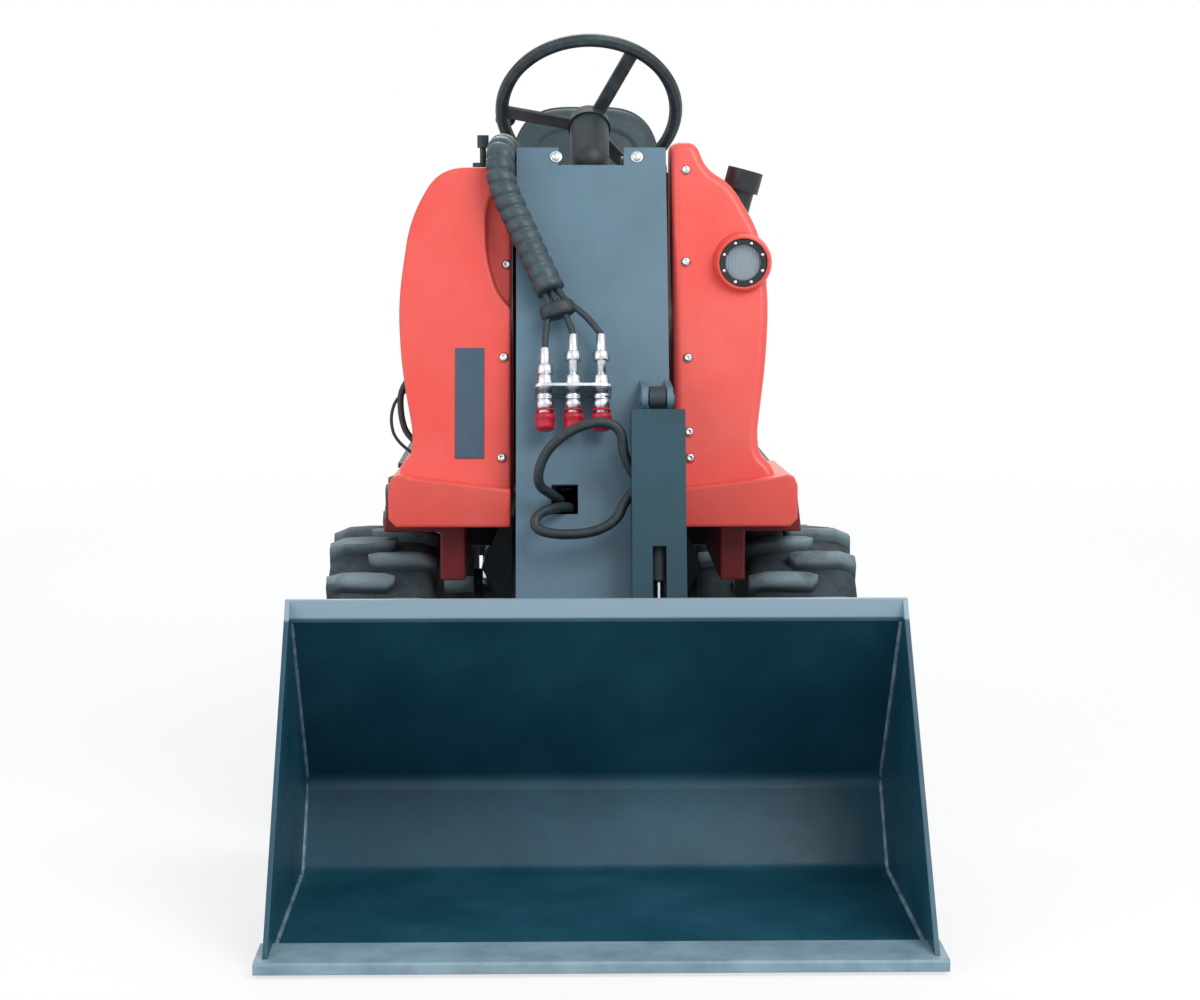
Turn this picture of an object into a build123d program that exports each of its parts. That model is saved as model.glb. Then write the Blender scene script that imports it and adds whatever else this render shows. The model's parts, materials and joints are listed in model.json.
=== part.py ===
"""Articulated mini loader with a centre boom, a tilt cylinder under a steel guard and a loading bucket.

X points to the operator's left, Y to the rear and Z up, in millimetres. The origin is on the ground, in the
middle of the machine's length and width. The rest pose has the boom lowered and the bucket flat on the ground.
"""

import os
from math import cos, radians, sin, tan

from build123d import *

os.makedirs("parts", exist_ok=True)

# Overall layout
LENGTH = 2500.0
FRONT_Y = -LENGTH / 2
REAR_Y = LENGTH / 2
FRONT_AXLE_Y = FRONT_Y + 1060.0
WHEELBASE = 1000.0
REAR_AXLE_Y = FRONT_AXLE_Y + WHEELBASE
PIVOT_Y = FRONT_AXLE_Y + WHEELBASE / 2
FRONT_TRACK = 780.0
REAR_TRACK = 700.0
GROUND_GAP = 6.0

# Running clearances
PIN_GAP = 0.3
SIDE_GAP = 2.0

# Wheels
TYRE_R = 280.0
TYRE_W = 208.0
LUG_H = 16.0
RIM_R = 152.0
RIM_FLANGE = 12.0
RIM_W = 150.0
BEAD_X = RIM_W / 2 - PIN_GAP
RIM_WALL = 5.0
DISC_T = 8.0
DISC_OFFSET = 18.0
HUB_R = 62.0
HUB_BORE_R = 26.0
AXLE_STUB_R = HUB_BORE_R - PIN_GAP
MOTOR_R = 70.0
MOTOR_INNER_X = 175.0

# Boom: a channel that is open to the rear, between its tower pin and its bucket pin
TOWER_PIN = Vector(0, FRONT_Y + 1090.0, 1225.0)
BUCKET_PIN = Vector(0, FRONT_Y + 690.0, 230.0)
BOOM_W = 280.0
BOOM_PLATE = 8.0
BOOM_FACE = 50.0
BOOM_DEPTH_REAR = 62.0
BOOM_NOTCH_W = 122.0
BOOM_NOTCH_LOW = 2.0
BOOM_EAR_UP = 34.0
BOOM_END_R = 34.0
HOSE_HOLE_X = -52.0
HOSE_HOLE_ALONG = 650.0
HOSE_HOLE_W = 48.0
TOWER_PIN_R = 18.0
BUCKET_PIN_R = 16.0
TOWER_PLATE_X = 62.0
TOWER_PLATE_T = 12.0
TOWER_EAR_R = 34.0

# Lift cylinder, inside the boom
LIFT_ROD_PIN_ALONG = 260.0
LIFT_ROD_PIN_BACK = 16.0
LIFT_BASE_R = 800.0
LIFT_BASE_ANGLE = 25.0
LIFT_BARREL_R = 38.0
LIFT_ROD_R = 20.0
LIFT_EYE_R = 24.0
LIFT_EYE_W = 50.0
LIFT_PIN_R = 14.0
LIFT_BARREL_L = 500.0
LIFT_ROD_INSIDE = 60.0
LIFT_LUG_T = 12.0
LUG_GAP = 3.0

# Tilt cylinder, in front of the boom
TILT_X = 114.0
TILT_BASE_ALONG = 487.0
TILT_BASE_OUT = 130.0
TILT_EYE_Y = FRONT_Y + 653.0
TILT_EYE_Z = 350.0
TILT_BARREL_R = 28.0
TILT_ROD_R = 12.0
TILT_EYE_R = 24.0
TILT_EYE_W = 28.0
TILT_PIN_R = 11.0
TILT_LUG_T = 11.0
TILT_BARREL_L = 330.0
TILT_NECK = 34.0
TILT_ROD_INSIDE = 100.0
CAP_END_T = 14.0
GUARD_W = 96.0
GUARD_PLATE = 6.0
GUARD_FRONT = 46.0
GUARD_REAR = 20.0
GUARD_TOP = 26.0
GUARD_BOTTOM = 372.0
GUARD_SLOT_W = 24.0
GUARD_SLOT_L = 100.0
GUARD_BAND_AT = 60.0

# Hydraulic outlets on the boom
OUTLET_X = -38.0
OUTLET_W = 140.0
OUTLET_ALONG = 430.0
OUTLET_REACH = 60.0
OUTLET_PLATE = 10.0
OUTLET_PITCH = 50.0
COUPLER_R = 16.0
COUPLER_UP = 96.0

# Bucket
BUCKET_W = 1040.0
BUCKET_PLATE = 8.0
BUCKET_BEND_R = 28.0
EDGE_T = 18.0
EDGE_L = 110.0
EDGE_OVERHANG = 12.0
FLOOR_BEND_Y = FRONT_Y + 575.0
HEEL_Y = FRONT_Y + 685.0
HEEL_Z = 152.0
LIP_Y = FRONT_Y + 442.0
LIP_Z = 513.0
LIP_H = 34.0
LIP_T = 14.0

# Quick hitch
HITCH_W = 420.0
HITCH_T = 12.0
HITCH_GAP = 8.0
HITCH_LUG_T = 14.0
HITCH_LUG_X = 119.0
HITCH_LUG_R = 28.0
HITCH_LOW = 105.0
HITCH_HIGH = 300.0

# Front body covers, by height above the ground
COWL_GAP = 10.0
COWL_INNER_X = BOOM_W / 2 + COWL_GAP
COWL_REAR_Y = FRONT_AXLE_Y + 240.0
COWL_TOP_FRONT_Y = FRONT_AXLE_Y - 20.0
COWL_LOW_FRONT_Y = FRONT_AXLE_Y - 175.0
STEP_FRONT_Y = FRONT_AXLE_Y - 245.0
STEP_OUT_X = 382.0
STEP_TOP_Z = 692.0
STEP_LOW_Z = 600.0
COWL_EDGE_R = 26.0
RIGHT_TOP_Z = 1238.0
RIGHT_OUT_X = 357.0
LEFT_TOP_Z = 1285.0
LEFT_OUT_X = 326.0
LAMP_X = 280.0
LAMP_Z = 1062.0
LAMP_R = 44.0
CAP_X = 285.0
CAP_Z = 1195.0
CAP_R = 34.0
CAP_H = 40.0
CAP_Y = FRONT_AXLE_Y + 60.0
CAP_LEAN = 15.0
CAP_NECK_L = 40.0
LAMP_LENS_R = 33.0
LAMP_BACK_Y = FRONT_AXLE_Y - 60.0
LAMP_DEPTH = 46.0

# Floor, seat and steering
FLOOR_T = 6.0
FLOOR_SLOT_Y = FRONT_AXLE_Y + 260.0
SKIRT_X = 240.0
FLOOR_REAR_Y = PIVOT_Y + 120.0
SEAT_Z = 930.0
SEAT_FRONT_Y = PIVOT_Y - 190.0
SEAT_REAR_Y = PIVOT_Y + 190.0
SEAT_W = 430.0
CUSHION_T = 90.0
BACK_T = 80.0
SEAT_BACK_W = 330.0
SEAT_BACK_R = 100.0
BACK_TOP_Z = 1375.0
PEDESTAL_W = 320.0
BACK_LEAN = 8.0
STRAP_X = 42.0
STRAP_T = 10.0
STRAP_GAP = 2.0
LEVER_X = 205.0
LEVER_Y = FRONT_AXLE_Y + 90.0
PEDAL_X = 250.0
PEDAL_Y = FRONT_AXLE_Y + 320.0
STEER_CENTRE = Vector(0, FRONT_Y + 1335.0, 1352.0)
STEER_TILT = 50.0
STEER_R = 172.0
STEER_RIM_R = 13.0
STEER_DISH = 55.0
COLUMN_R = 38.0
HUB_RADIUS = 42.0
HUB_GAP = 0.5
COLUMN_L = 100.0
COLUMN_FOOT_Z = 630.0
SPOKE_ANGLES = (60.0, 180.0, 300.0)
SPOKE_W = 26.0
SPOKE_T = 8.0
KNOB_ANGLE = 165.0
KNOB_R = 20.0

# Chassis
CHASSIS_W = 300.0
CHASSIS_LOW_Z = 250.0
CHASSIS_TOP_Z = 594.0
CHASSIS_WALL = 12.0
FRONT_BOX_REAR_Y = PIVOT_Y - 190.0
RAIL_X = 100.0
RAIL_W = 24.0
RAIL_H = 34.0
KINGPIN_R = 26.0
YOKE_R = 62.0
YOKE_T = 24.0
YOKE_LOW_Z = 330.0
YOKE_TOP_Z = 500.0
STEER_PIN_X = -190.0
STEER_PIN_REACH = 250.0
STEER_CYL_Z = 440.0
STEER_BARREL_R = 26.0
STEER_ROD_R = 12.0
STEER_EYE_R = 24.0
STEER_EYE_H = 30.0
STEER_PIN_R = 11.0
STEER_LUG_T = 10.0
STEER_BARREL_L = 304.0
STEER_ROD_INSIDE = 171.0
STEER_NECK = 34.0
REAR_BOX_Y = PIVOT_Y + 230.0
REAR_TOP_Z = 580.0
DECK_W = 840.0
DECK_T = 10.0

# Rear body
HOOD_FRONT_Y = PIVOT_Y + 350.0
HOOD_REAR_Y = REAR_Y - 60.0
HOOD_W = 560.0
HOOD_LOW_Z = REAR_TOP_Z + DECK_T + SIDE_GAP
HOOD_TOP_Z = 900.0
HOOD_WALL = 5.0
HOOD_KNUCKLE_R = 10.0
HOOD_PIN_R = 5.0
HOOD_HINGE_Y = HOOD_REAR_Y + 12.0
HOOD_HINGE_Z = REAR_TOP_Z + DECK_T + 12.0
HOOD_HINGE_X = 190.0
HOOD_HINGE_W = 40.0
BUMPER_W = 760.0
BUMPER_T = 110.0
BUMPER_LOW_Z = 320.0
BUMPER_TOP_Z = 580.0
TAIL_PROUD = 10.0


def keep(builder, label):
    """Name a finished piece and write it to its own file."""
    builder.part.label = label
    export_step(builder.part, f"parts/{label}.step")


def side_plane(x):
    """A drawing plane facing the operator's left, with local x along Y and local y along Z."""
    return Plane.YZ.offset(x)


# Boom frame: local x runs from the tower pin to the bucket pin, local y towards the rear
BOOM_VECTOR = BUCKET_PIN - TOWER_PIN
BOOM_L = BOOM_VECTOR.length
BOOM_DIR = BOOM_VECTOR.normalized()
BOOM_REAR = Vector(1, 0, 0).cross(BOOM_DIR)


def boom_plane(x):
    """The boom's side-view plane at a given X."""
    return Plane(origin=TOWER_PIN + Vector(x, 0, 0), x_dir=BOOM_DIR, z_dir=(1, 0, 0))


def boom_point(along, rear, x=0.0):
    """A point given along the boom and behind its pin line."""
    return TOWER_PIN + BOOM_DIR * along + BOOM_REAR * rear + Vector(x, 0, 0)


LIFT_ROD_PIN = boom_point(LIFT_ROD_PIN_ALONG, LIFT_ROD_PIN_BACK)
LIFT_BASE_DIR = BOOM_DIR * cos(radians(LIFT_BASE_ANGLE)) + BOOM_REAR * sin(radians(LIFT_BASE_ANGLE))
LIFT_BASE_PIN = TOWER_PIN + LIFT_BASE_DIR * LIFT_BASE_R
LIFT_DIR = (LIFT_ROD_PIN - LIFT_BASE_PIN).normalized()
LIFT_L = (LIFT_ROD_PIN - LIFT_BASE_PIN).length
TILT_BASE_PIN = boom_point(TILT_BASE_ALONG, -TILT_BASE_OUT, TILT_X)
TILT_EYE_PIN = Vector(TILT_X, TILT_EYE_Y, TILT_EYE_Z)
TILT_DIR = (TILT_EYE_PIN - TILT_BASE_PIN).normalized()
TILT_L = (TILT_EYE_PIN - TILT_BASE_PIN).length

# Steering column: the wheel faces up and back along its normal
STEER_NORMAL = Vector(0, sin(radians(STEER_TILT)), cos(radians(STEER_TILT)))
STEER_HUB = STEER_CENTRE - STEER_NORMAL * STEER_DISH
COLUMN_TOP = STEER_HUB - STEER_NORMAL * HUB_GAP
COLUMN_ELBOW = COLUMN_TOP - STEER_NORMAL * COLUMN_L

# Bucket back: the line that the hitch plate lies against
BACK_DIR = Vector(0, LIP_Y - HEEL_Y, LIP_Z - LIP_H - HEEL_Z).normalized()
BACK_OUT = BACK_DIR.cross(Vector(1, 0, 0))


def back_point(along, out, x=0.0):
    """A point given up the bucket's back from its heel and out behind it."""
    return Vector(x, HEEL_Y, HEEL_Z) + BACK_DIR * along + BACK_OUT * out


def back_place(point):
    """How far a point lies up the bucket's back and out behind it."""
    offset_from_heel = point - Vector(0, HEEL_Y, HEEL_Z)
    return offset_from_heel.dot(BACK_DIR), offset_from_heel.dot(BACK_OUT)


# Wheels: a tyre and a dished rim for each corner
with BuildPart() as tyre:
    with BuildSketch(Plane.XY):
        with BuildLine():
            Polyline(
                (BEAD_X, RIM_R + PIN_GAP),
                (BEAD_X, RIM_R + RIM_FLANGE + PIN_GAP),
                (TYRE_W / 2 - 8, TYRE_R - 78),
                (TYRE_W / 2, TYRE_R - 50),
                (TYRE_W / 2 - 6, TYRE_R - 18),
                (TYRE_W / 2 - 24, TYRE_R),
                (-TYRE_W / 2 + 24, TYRE_R),
                (-TYRE_W / 2 + 6, TYRE_R - 18),
                (-TYRE_W / 2, TYRE_R - 50),
                (-TYRE_W / 2 + 8, TYRE_R - 78),
                (-BEAD_X, RIM_R + RIM_FLANGE + PIN_GAP),
                (-BEAD_X, RIM_R + PIN_GAP),
                close=True,
            )
        make_face()
    revolve(axis=Axis.X)

with BuildPart() as rim:
    with BuildSketch(Plane.XY):
        with BuildLine():
            Polyline(
                (-RIM_W / 2, RIM_R + RIM_FLANGE),
                (-RIM_W / 2 - RIM_WALL, RIM_R + RIM_FLANGE),
                (-RIM_W / 2 - RIM_WALL, RIM_R - RIM_WALL),
                (DISC_OFFSET, RIM_R - RIM_WALL),
                (DISC_OFFSET - 20, HUB_R + 40),
                (DISC_OFFSET, HUB_R + 12),
                (DISC_OFFSET, HUB_BORE_R),
                (DISC_OFFSET + DISC_T, HUB_BORE_R),
                (DISC_OFFSET + DISC_T, HUB_R + 14),
                (DISC_OFFSET - 20 + DISC_T, HUB_R + 42),
                (DISC_OFFSET + DISC_T, RIM_R - RIM_WALL),
                (RIM_W / 2 + RIM_WALL, RIM_R - RIM_WALL),
                (RIM_W / 2 + RIM_WALL, RIM_R + RIM_FLANGE),
                (RIM_W / 2, RIM_R + RIM_FLANGE),
                (RIM_W / 2, RIM_R),
                (-RIM_W / 2, RIM_R),
                close=True,
            )
        make_face()
    revolve(axis=Axis.X)

# Each axle: name, place along Y, track
AXLES = (
    ("front", FRONT_AXLE_Y, FRONT_TRACK),
    ("rear", REAR_AXLE_Y, REAR_TRACK),
)
# Each corner: name, side of the machine, axle place along Y, track
CORNERS = [(f"{axle}_{hand}", side, axle_y, track) for axle, axle_y, track in AXLES
           for hand, side in (("left", 1), ("right", -1))]
for corner, side, axle_y, track in CORNERS:
    for piece, source in (("tyre", tyre), ("rim", rim)):
        with BuildPart() as placed:
            add(source.part)
            if side < 0:
                mirror(about=Plane.YZ, mode=Mode.REPLACE)
        placed.part.position = (side * track / 2, axle_y, TYRE_R)
        keep(placed, f"{corner}_{piece}")

# Wheel motors: a flanged motor at each hub, bolted to the chassis side
for axle, axle_y, track in AXLES:
    disc_x = track / 2 + DISC_OFFSET
    with BuildPart() as motors:
        for side in (1, -1):
            with BuildSketch(Plane(origin=(0, axle_y, TYRE_R), z_dir=(side, 0, 0)).offset(CHASSIS_W / 2)):
                Circle(MOTOR_R)
            extrude(amount=MOTOR_INNER_X - CHASSIS_W / 2 + 60)
            with BuildSketch(Plane(origin=(0, axle_y, TYRE_R), z_dir=(side, 0, 0)).offset(MOTOR_INNER_X + 60)):
                Circle(HUB_R - 8)
            extrude(amount=disc_x - MOTOR_INNER_X - 60 - SIDE_GAP)
            with BuildSketch(Plane(origin=(0, axle_y, TYRE_R), z_dir=(side, 0, 0)).offset(disc_x - SIDE_GAP)):
                Circle(AXLE_STUB_R)
            extrude(amount=DISC_T + 24)
    keep(motors, f"{axle}_wheel_motors")

# Front chassis: belly box, boom tower plates and the two yoke plates of the centre pivot
with BuildPart() as front_chassis:
    with BuildSketch(side_plane(0)):
        with BuildLine():
            Polyline(
                (FRONT_AXLE_Y - 130, CHASSIS_LOW_Z),
                (FRONT_BOX_REAR_Y, CHASSIS_LOW_Z),
                (FRONT_BOX_REAR_Y, CHASSIS_TOP_Z),
                (FRONT_AXLE_Y + 20, CHASSIS_TOP_Z),
                (FRONT_AXLE_Y - 60, CHASSIS_TOP_Z - 110),
                (FRONT_AXLE_Y - 130, CHASSIS_TOP_Z - 190),
                close=True,
            )
        make_face()
    extrude(amount=CHASSIS_W / 2, both=True)
    pocket_front = FRONT_AXLE_Y - 130 + CHASSIS_WALL
    pocket_rear = FRONT_BOX_REAR_Y - CHASSIS_WALL
    with BuildSketch(Plane.XY.offset(CHASSIS_LOW_Z + CHASSIS_WALL)):
        with Locations((0, (pocket_front + pocket_rear) / 2)):
            Rectangle(CHASSIS_W - 2 * CHASSIS_WALL, pocket_rear - pocket_front)
    extrude(amount=CHASSIS_TOP_Z, mode=Mode.SUBTRACT)
    for x in (TOWER_PLATE_X - TOWER_PLATE_T / 2, -TOWER_PLATE_X - TOWER_PLATE_T / 2):
        with BuildSketch(side_plane(x)):
            with BuildLine():
                Polyline(
                    (FRONT_AXLE_Y - 110, CHASSIS_LOW_Z + 12),
                    (pocket_rear, CHASSIS_LOW_Z + 12),
                    (pocket_rear, CHASSIS_TOP_Z - 20),
                    (FLOOR_SLOT_Y - 10, CHASSIS_TOP_Z - 20),
                    (FRONT_AXLE_Y + 150, CHASSIS_TOP_Z + 60),
                    (TOWER_PIN.Y + 60, TOWER_PIN.Z),
                    (TOWER_PIN.Y, TOWER_PIN.Z),
                    (TOWER_PIN.Y - 10, TOWER_PIN.Z - 60),
                    (FRONT_AXLE_Y - 50, CHASSIS_TOP_Z),
                    close=True,
                )
            make_face()
            with Locations((TOWER_PIN.Y, TOWER_PIN.Z)):
                Circle(TOWER_EAR_R)
        extrude(amount=TOWER_PLATE_T)
    for z in (YOKE_LOW_Z, YOKE_TOP_Z - YOKE_T):
        with BuildSketch(Plane.XY.offset(z)):
            with BuildLine():
                Polyline(
                    (-CHASSIS_W / 2, FRONT_BOX_REAR_Y - CHASSIS_WALL / 2),
                    (CHASSIS_W / 2, FRONT_BOX_REAR_Y - CHASSIS_WALL / 2),
                    (YOKE_R, PIVOT_Y),
                    (-YOKE_R, PIVOT_Y),
                    close=True,
                )
            make_face()
            with Locations((0, PIVOT_Y)):
                Circle(YOKE_R)
        extrude(amount=YOKE_T)
    with BuildSketch(Plane.XY.offset(YOKE_LOW_Z)):
        with Locations((0, PIVOT_Y)):
            Circle(KINGPIN_R)
    extrude(amount=YOKE_TOP_Z - YOKE_LOW_Z)
    for x in (RAIL_X, -RAIL_X):
        with BuildSketch(Plane.XY.offset(CHASSIS_TOP_Z - RAIL_H)):
            with Locations((x, (FRONT_BOX_REAR_Y - CHASSIS_WALL / 2 + FLOOR_REAR_Y - 30) / 2)):
                Rectangle(RAIL_W, FLOOR_REAR_Y - 30 - FRONT_BOX_REAR_Y + CHASSIS_WALL / 2)
        extrude(amount=RAIL_H)
    with BuildSketch(side_plane(-BOOM_W / 2 - 3)):
        with Locations((TOWER_PIN.Y, TOWER_PIN.Z)):
            Circle(TOWER_PIN_R)
    extrude(amount=BOOM_W + 6)
    with BuildSketch(side_plane(-TOWER_PLATE_X)):
        with Locations((LIFT_BASE_PIN.Y, LIFT_BASE_PIN.Z)):
            Circle(LIFT_PIN_R)
    extrude(amount=2 * TOWER_PLATE_X)
    with BuildSketch(Plane.XY.offset(COLUMN_FOOT_Z - CHASSIS_WALL)):
        with Locations((0, COLUMN_ELBOW.Y)):
            Rectangle(2 * TOWER_PLATE_X, 2 * COLUMN_R)
    extrude(amount=CHASSIS_WALL)
    for side in (1, -1):
        with BuildSketch(Plane.XZ.offset(-(FRONT_AXLE_Y - 60))):
            with BuildLine():
                Polyline(
                    (side * CHASSIS_W / 2, CHASSIS_TOP_Z - 220),
                    (side * (CHASSIS_W / 2 + 58), CHASSIS_TOP_Z - 106),
                    (side * (CHASSIS_W / 2 + 14), CHASSIS_TOP_Z),
                    (side * CHASSIS_W / 2, CHASSIS_TOP_Z),
                    close=True,
                )
            make_face()
        extrude(amount=-10)
    for z in (STEER_CYL_Z + STEER_EYE_H / 2 + LUG_GAP, STEER_CYL_Z - STEER_EYE_H / 2 - LUG_GAP - STEER_LUG_T):
        with BuildSketch(Plane.XY.offset(z)):
            with Locations((STEER_PIN_X, PIVOT_Y - STEER_PIN_REACH)):
                Circle(STEER_EYE_R)
            with Locations(((STEER_PIN_X - CHASSIS_W / 2) / 2, PIVOT_Y - STEER_PIN_REACH)):
                Rectangle(-STEER_PIN_X - CHASSIS_W / 2, 2 * STEER_EYE_R)
        extrude(amount=STEER_LUG_T)
keep(front_chassis, "front_chassis")

# Boom: two side plates and a front plate, with bearing tubes at the tower and lugs for both cylinders
FACE_END = BOOM_L - 195.0
with BuildPart() as boom:
    for x in (BOOM_W / 2 - BOOM_PLATE, -BOOM_W / 2):
        with BuildSketch(boom_plane(x)):
            with BuildLine():
                Polyline(
                    (-BOOM_EAR_UP, -BOOM_FACE),
                    (-BOOM_EAR_UP, 4),
                    (70, BOOM_DEPTH_REAR),
                    (BOOM_L - 160, BOOM_DEPTH_REAR),
                    (BOOM_L, BOOM_END_R),
                    (BOOM_L, 2),
                    (BOOM_L - 140, 2),
                    (FACE_END, -BOOM_FACE),
                    close=True,
                )
            make_face()
            with Locations((BOOM_L, 0)):
                Circle(BOOM_END_R)
            with Locations((0, 0)):
                Circle(TOWER_PIN_R + 12)
        extrude(amount=BOOM_PLATE)
    face_plane = Plane(origin=boom_point(0, -BOOM_FACE), x_dir=(1, 0, 0), z_dir=-BOOM_REAR)
    with BuildSketch(face_plane):
        with Locations((0, -(FACE_END - BOOM_EAR_UP) / 2)):
            Rectangle(BOOM_W, FACE_END + BOOM_EAR_UP)
        with Locations((0, (BOOM_EAR_UP - BOOM_NOTCH_LOW) / 2)):
            Rectangle(BOOM_NOTCH_W, BOOM_EAR_UP + BOOM_NOTCH_LOW, mode=Mode.SUBTRACT)
        with Locations((HOSE_HOLE_X, -HOSE_HOLE_ALONG)):
            Rectangle(HOSE_HOLE_W, HOSE_HOLE_W * 1.15, mode=Mode.SUBTRACT)
    extrude(amount=-BOOM_PLATE)
    for x in (TOWER_PLATE_X + TOWER_PLATE_T / 2 + SIDE_GAP, -BOOM_W / 2):
        tube_l = BOOM_W / 2 - TOWER_PLATE_X - TOWER_PLATE_T / 2 - SIDE_GAP
        with BuildSketch(boom_plane(x)):
            Circle(TOWER_PIN_R + 12)
        extrude(amount=tube_l)
    for x in (LIFT_EYE_W / 2 + LUG_GAP, -LIFT_EYE_W / 2 - LUG_GAP - LIFT_LUG_T):
        with BuildSketch(boom_plane(x)):
            with BuildLine():
                Polyline(
                    (LIFT_ROD_PIN_ALONG - 80, -BOOM_FACE + BOOM_PLATE),
                    (LIFT_ROD_PIN_ALONG - LIFT_EYE_R, LIFT_ROD_PIN_BACK),
                    (LIFT_ROD_PIN_ALONG + LIFT_EYE_R, LIFT_ROD_PIN_BACK),
                    (LIFT_ROD_PIN_ALONG + 80, -BOOM_FACE + BOOM_PLATE),
                    close=True,
                )
            make_face()
            with Locations((LIFT_ROD_PIN_ALONG, LIFT_ROD_PIN_BACK)):
                Circle(LIFT_EYE_R)
        extrude(amount=LIFT_LUG_T)
    for x in (TILT_X + TILT_EYE_W / 2 + LUG_GAP, TILT_X - TILT_EYE_W / 2 - LUG_GAP - TILT_LUG_T):
        with BuildSketch(boom_plane(x)):
            with BuildLine():
                Polyline(
                    (TILT_BASE_ALONG - 62, -BOOM_FACE),
                    (TILT_BASE_ALONG - TILT_EYE_R, -TILT_BASE_OUT),
                    (TILT_BASE_ALONG + TILT_EYE_R, -TILT_BASE_OUT),
                    (TILT_BASE_ALONG + 40, -BOOM_FACE),
                    close=True,
                )
            make_face()
            with Locations((TILT_BASE_ALONG, -TILT_BASE_OUT)):
                Circle(TILT_EYE_R)
        extrude(amount=TILT_LUG_T)
    with BuildSketch(boom_plane(TILT_X - TILT_EYE_W / 2 - LUG_GAP - TILT_LUG_T - 3)):
        with Locations((TILT_BASE_ALONG, -TILT_BASE_OUT)):
            Circle(TILT_PIN_R)
    extrude(amount=TILT_EYE_W + 2 * LUG_GAP + 2 * TILT_LUG_T + 6)
    with BuildSketch(boom_plane(-BOOM_W / 2)):
        with Locations((BOOM_L - 190, 34)):
            Circle(22)
    extrude(amount=BOOM_W)
    with BuildSketch(boom_plane(-BOOM_W / 2)):
        with Locations((0, 0)):
            Circle(TOWER_PIN_R + PIN_GAP)
    extrude(amount=BOOM_W, mode=Mode.SUBTRACT)
    with BuildSketch(boom_plane(-BOOM_W / 2 - 3)):
        with Locations((BOOM_L, 0)):
            Circle(BUCKET_PIN_R)
    extrude(amount=BOOM_W + 6)
keep(boom, "boom")

# Lift cylinder: barrel on the chassis, rod up to the boom
LIFT_PLANE = Plane(origin=LIFT_BASE_PIN, x_dir=(1, 0, 0), z_dir=LIFT_DIR)
with BuildPart() as lift_barrel:
    with BuildSketch(LIFT_PLANE):
        Circle(LIFT_BARREL_R)
    extrude(amount=LIFT_BARREL_L)
    with BuildSketch(LIFT_PLANE.offset(LIFT_EYE_R + CAP_END_T)):
        Circle(LIFT_ROD_R + PIN_GAP)
    extrude(amount=LIFT_BARREL_L, mode=Mode.SUBTRACT)
    with BuildSketch(side_plane(-LIFT_EYE_W / 2)):
        with Locations((LIFT_BASE_PIN.Y, LIFT_BASE_PIN.Z)):
            Circle(LIFT_EYE_R)
    extrude(amount=LIFT_EYE_W)
    with BuildSketch(side_plane(0)):
        with Locations((LIFT_BASE_PIN.Y, LIFT_BASE_PIN.Z)):
            Circle(LIFT_PIN_R + PIN_GAP)
    extrude(amount=LIFT_BARREL_R, both=True, mode=Mode.SUBTRACT)
keep(lift_barrel, "lift_barrel")

with BuildPart() as lift_rod:
    with BuildSketch(LIFT_PLANE.offset(LIFT_ROD_INSIDE)):
        Circle(LIFT_ROD_R)
    extrude(amount=LIFT_L - LIFT_ROD_INSIDE)
    with BuildSketch(side_plane(-LIFT_EYE_W / 2)):
        with Locations((LIFT_ROD_PIN.Y, LIFT_ROD_PIN.Z)):
            Circle(LIFT_EYE_R)
    extrude(amount=LIFT_EYE_W)
keep(lift_rod, "lift_rod")

# Tilt cylinder: barrel and guard hang from the boom, rod down to the hitch
TILT_PLANE = Plane(origin=TILT_BASE_PIN, x_dir=(1, 0, 0), z_dir=TILT_DIR)
with BuildPart() as tilt_barrel:
    with BuildSketch(TILT_PLANE):
        Circle(TILT_EYE_W / 2 - SIDE_GAP)
    extrude(amount=TILT_NECK)
    with BuildSketch(TILT_PLANE.offset(TILT_NECK)):
        Circle(TILT_BARREL_R)
    extrude(amount=TILT_BARREL_L - TILT_NECK)
    with BuildSketch(TILT_PLANE.offset(TILT_NECK + CAP_END_T)):
        Circle(TILT_ROD_R + PIN_GAP)
    extrude(amount=TILT_BARREL_L, mode=Mode.SUBTRACT)
    with BuildSketch(side_plane(TILT_X - TILT_EYE_W / 2)):
        with Locations((TILT_BASE_PIN.Y, TILT_BASE_PIN.Z)):
            Circle(TILT_EYE_R)
    extrude(amount=TILT_EYE_W)
    with BuildSketch(side_plane(TILT_X - TILT_EYE_W / 2)):
        with Locations((TILT_BASE_PIN.Y, TILT_BASE_PIN.Z)):
            Circle(TILT_PIN_R + PIN_GAP)
    extrude(amount=TILT_EYE_W, mode=Mode.SUBTRACT)
keep(tilt_barrel, "tilt_barrel")

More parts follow.
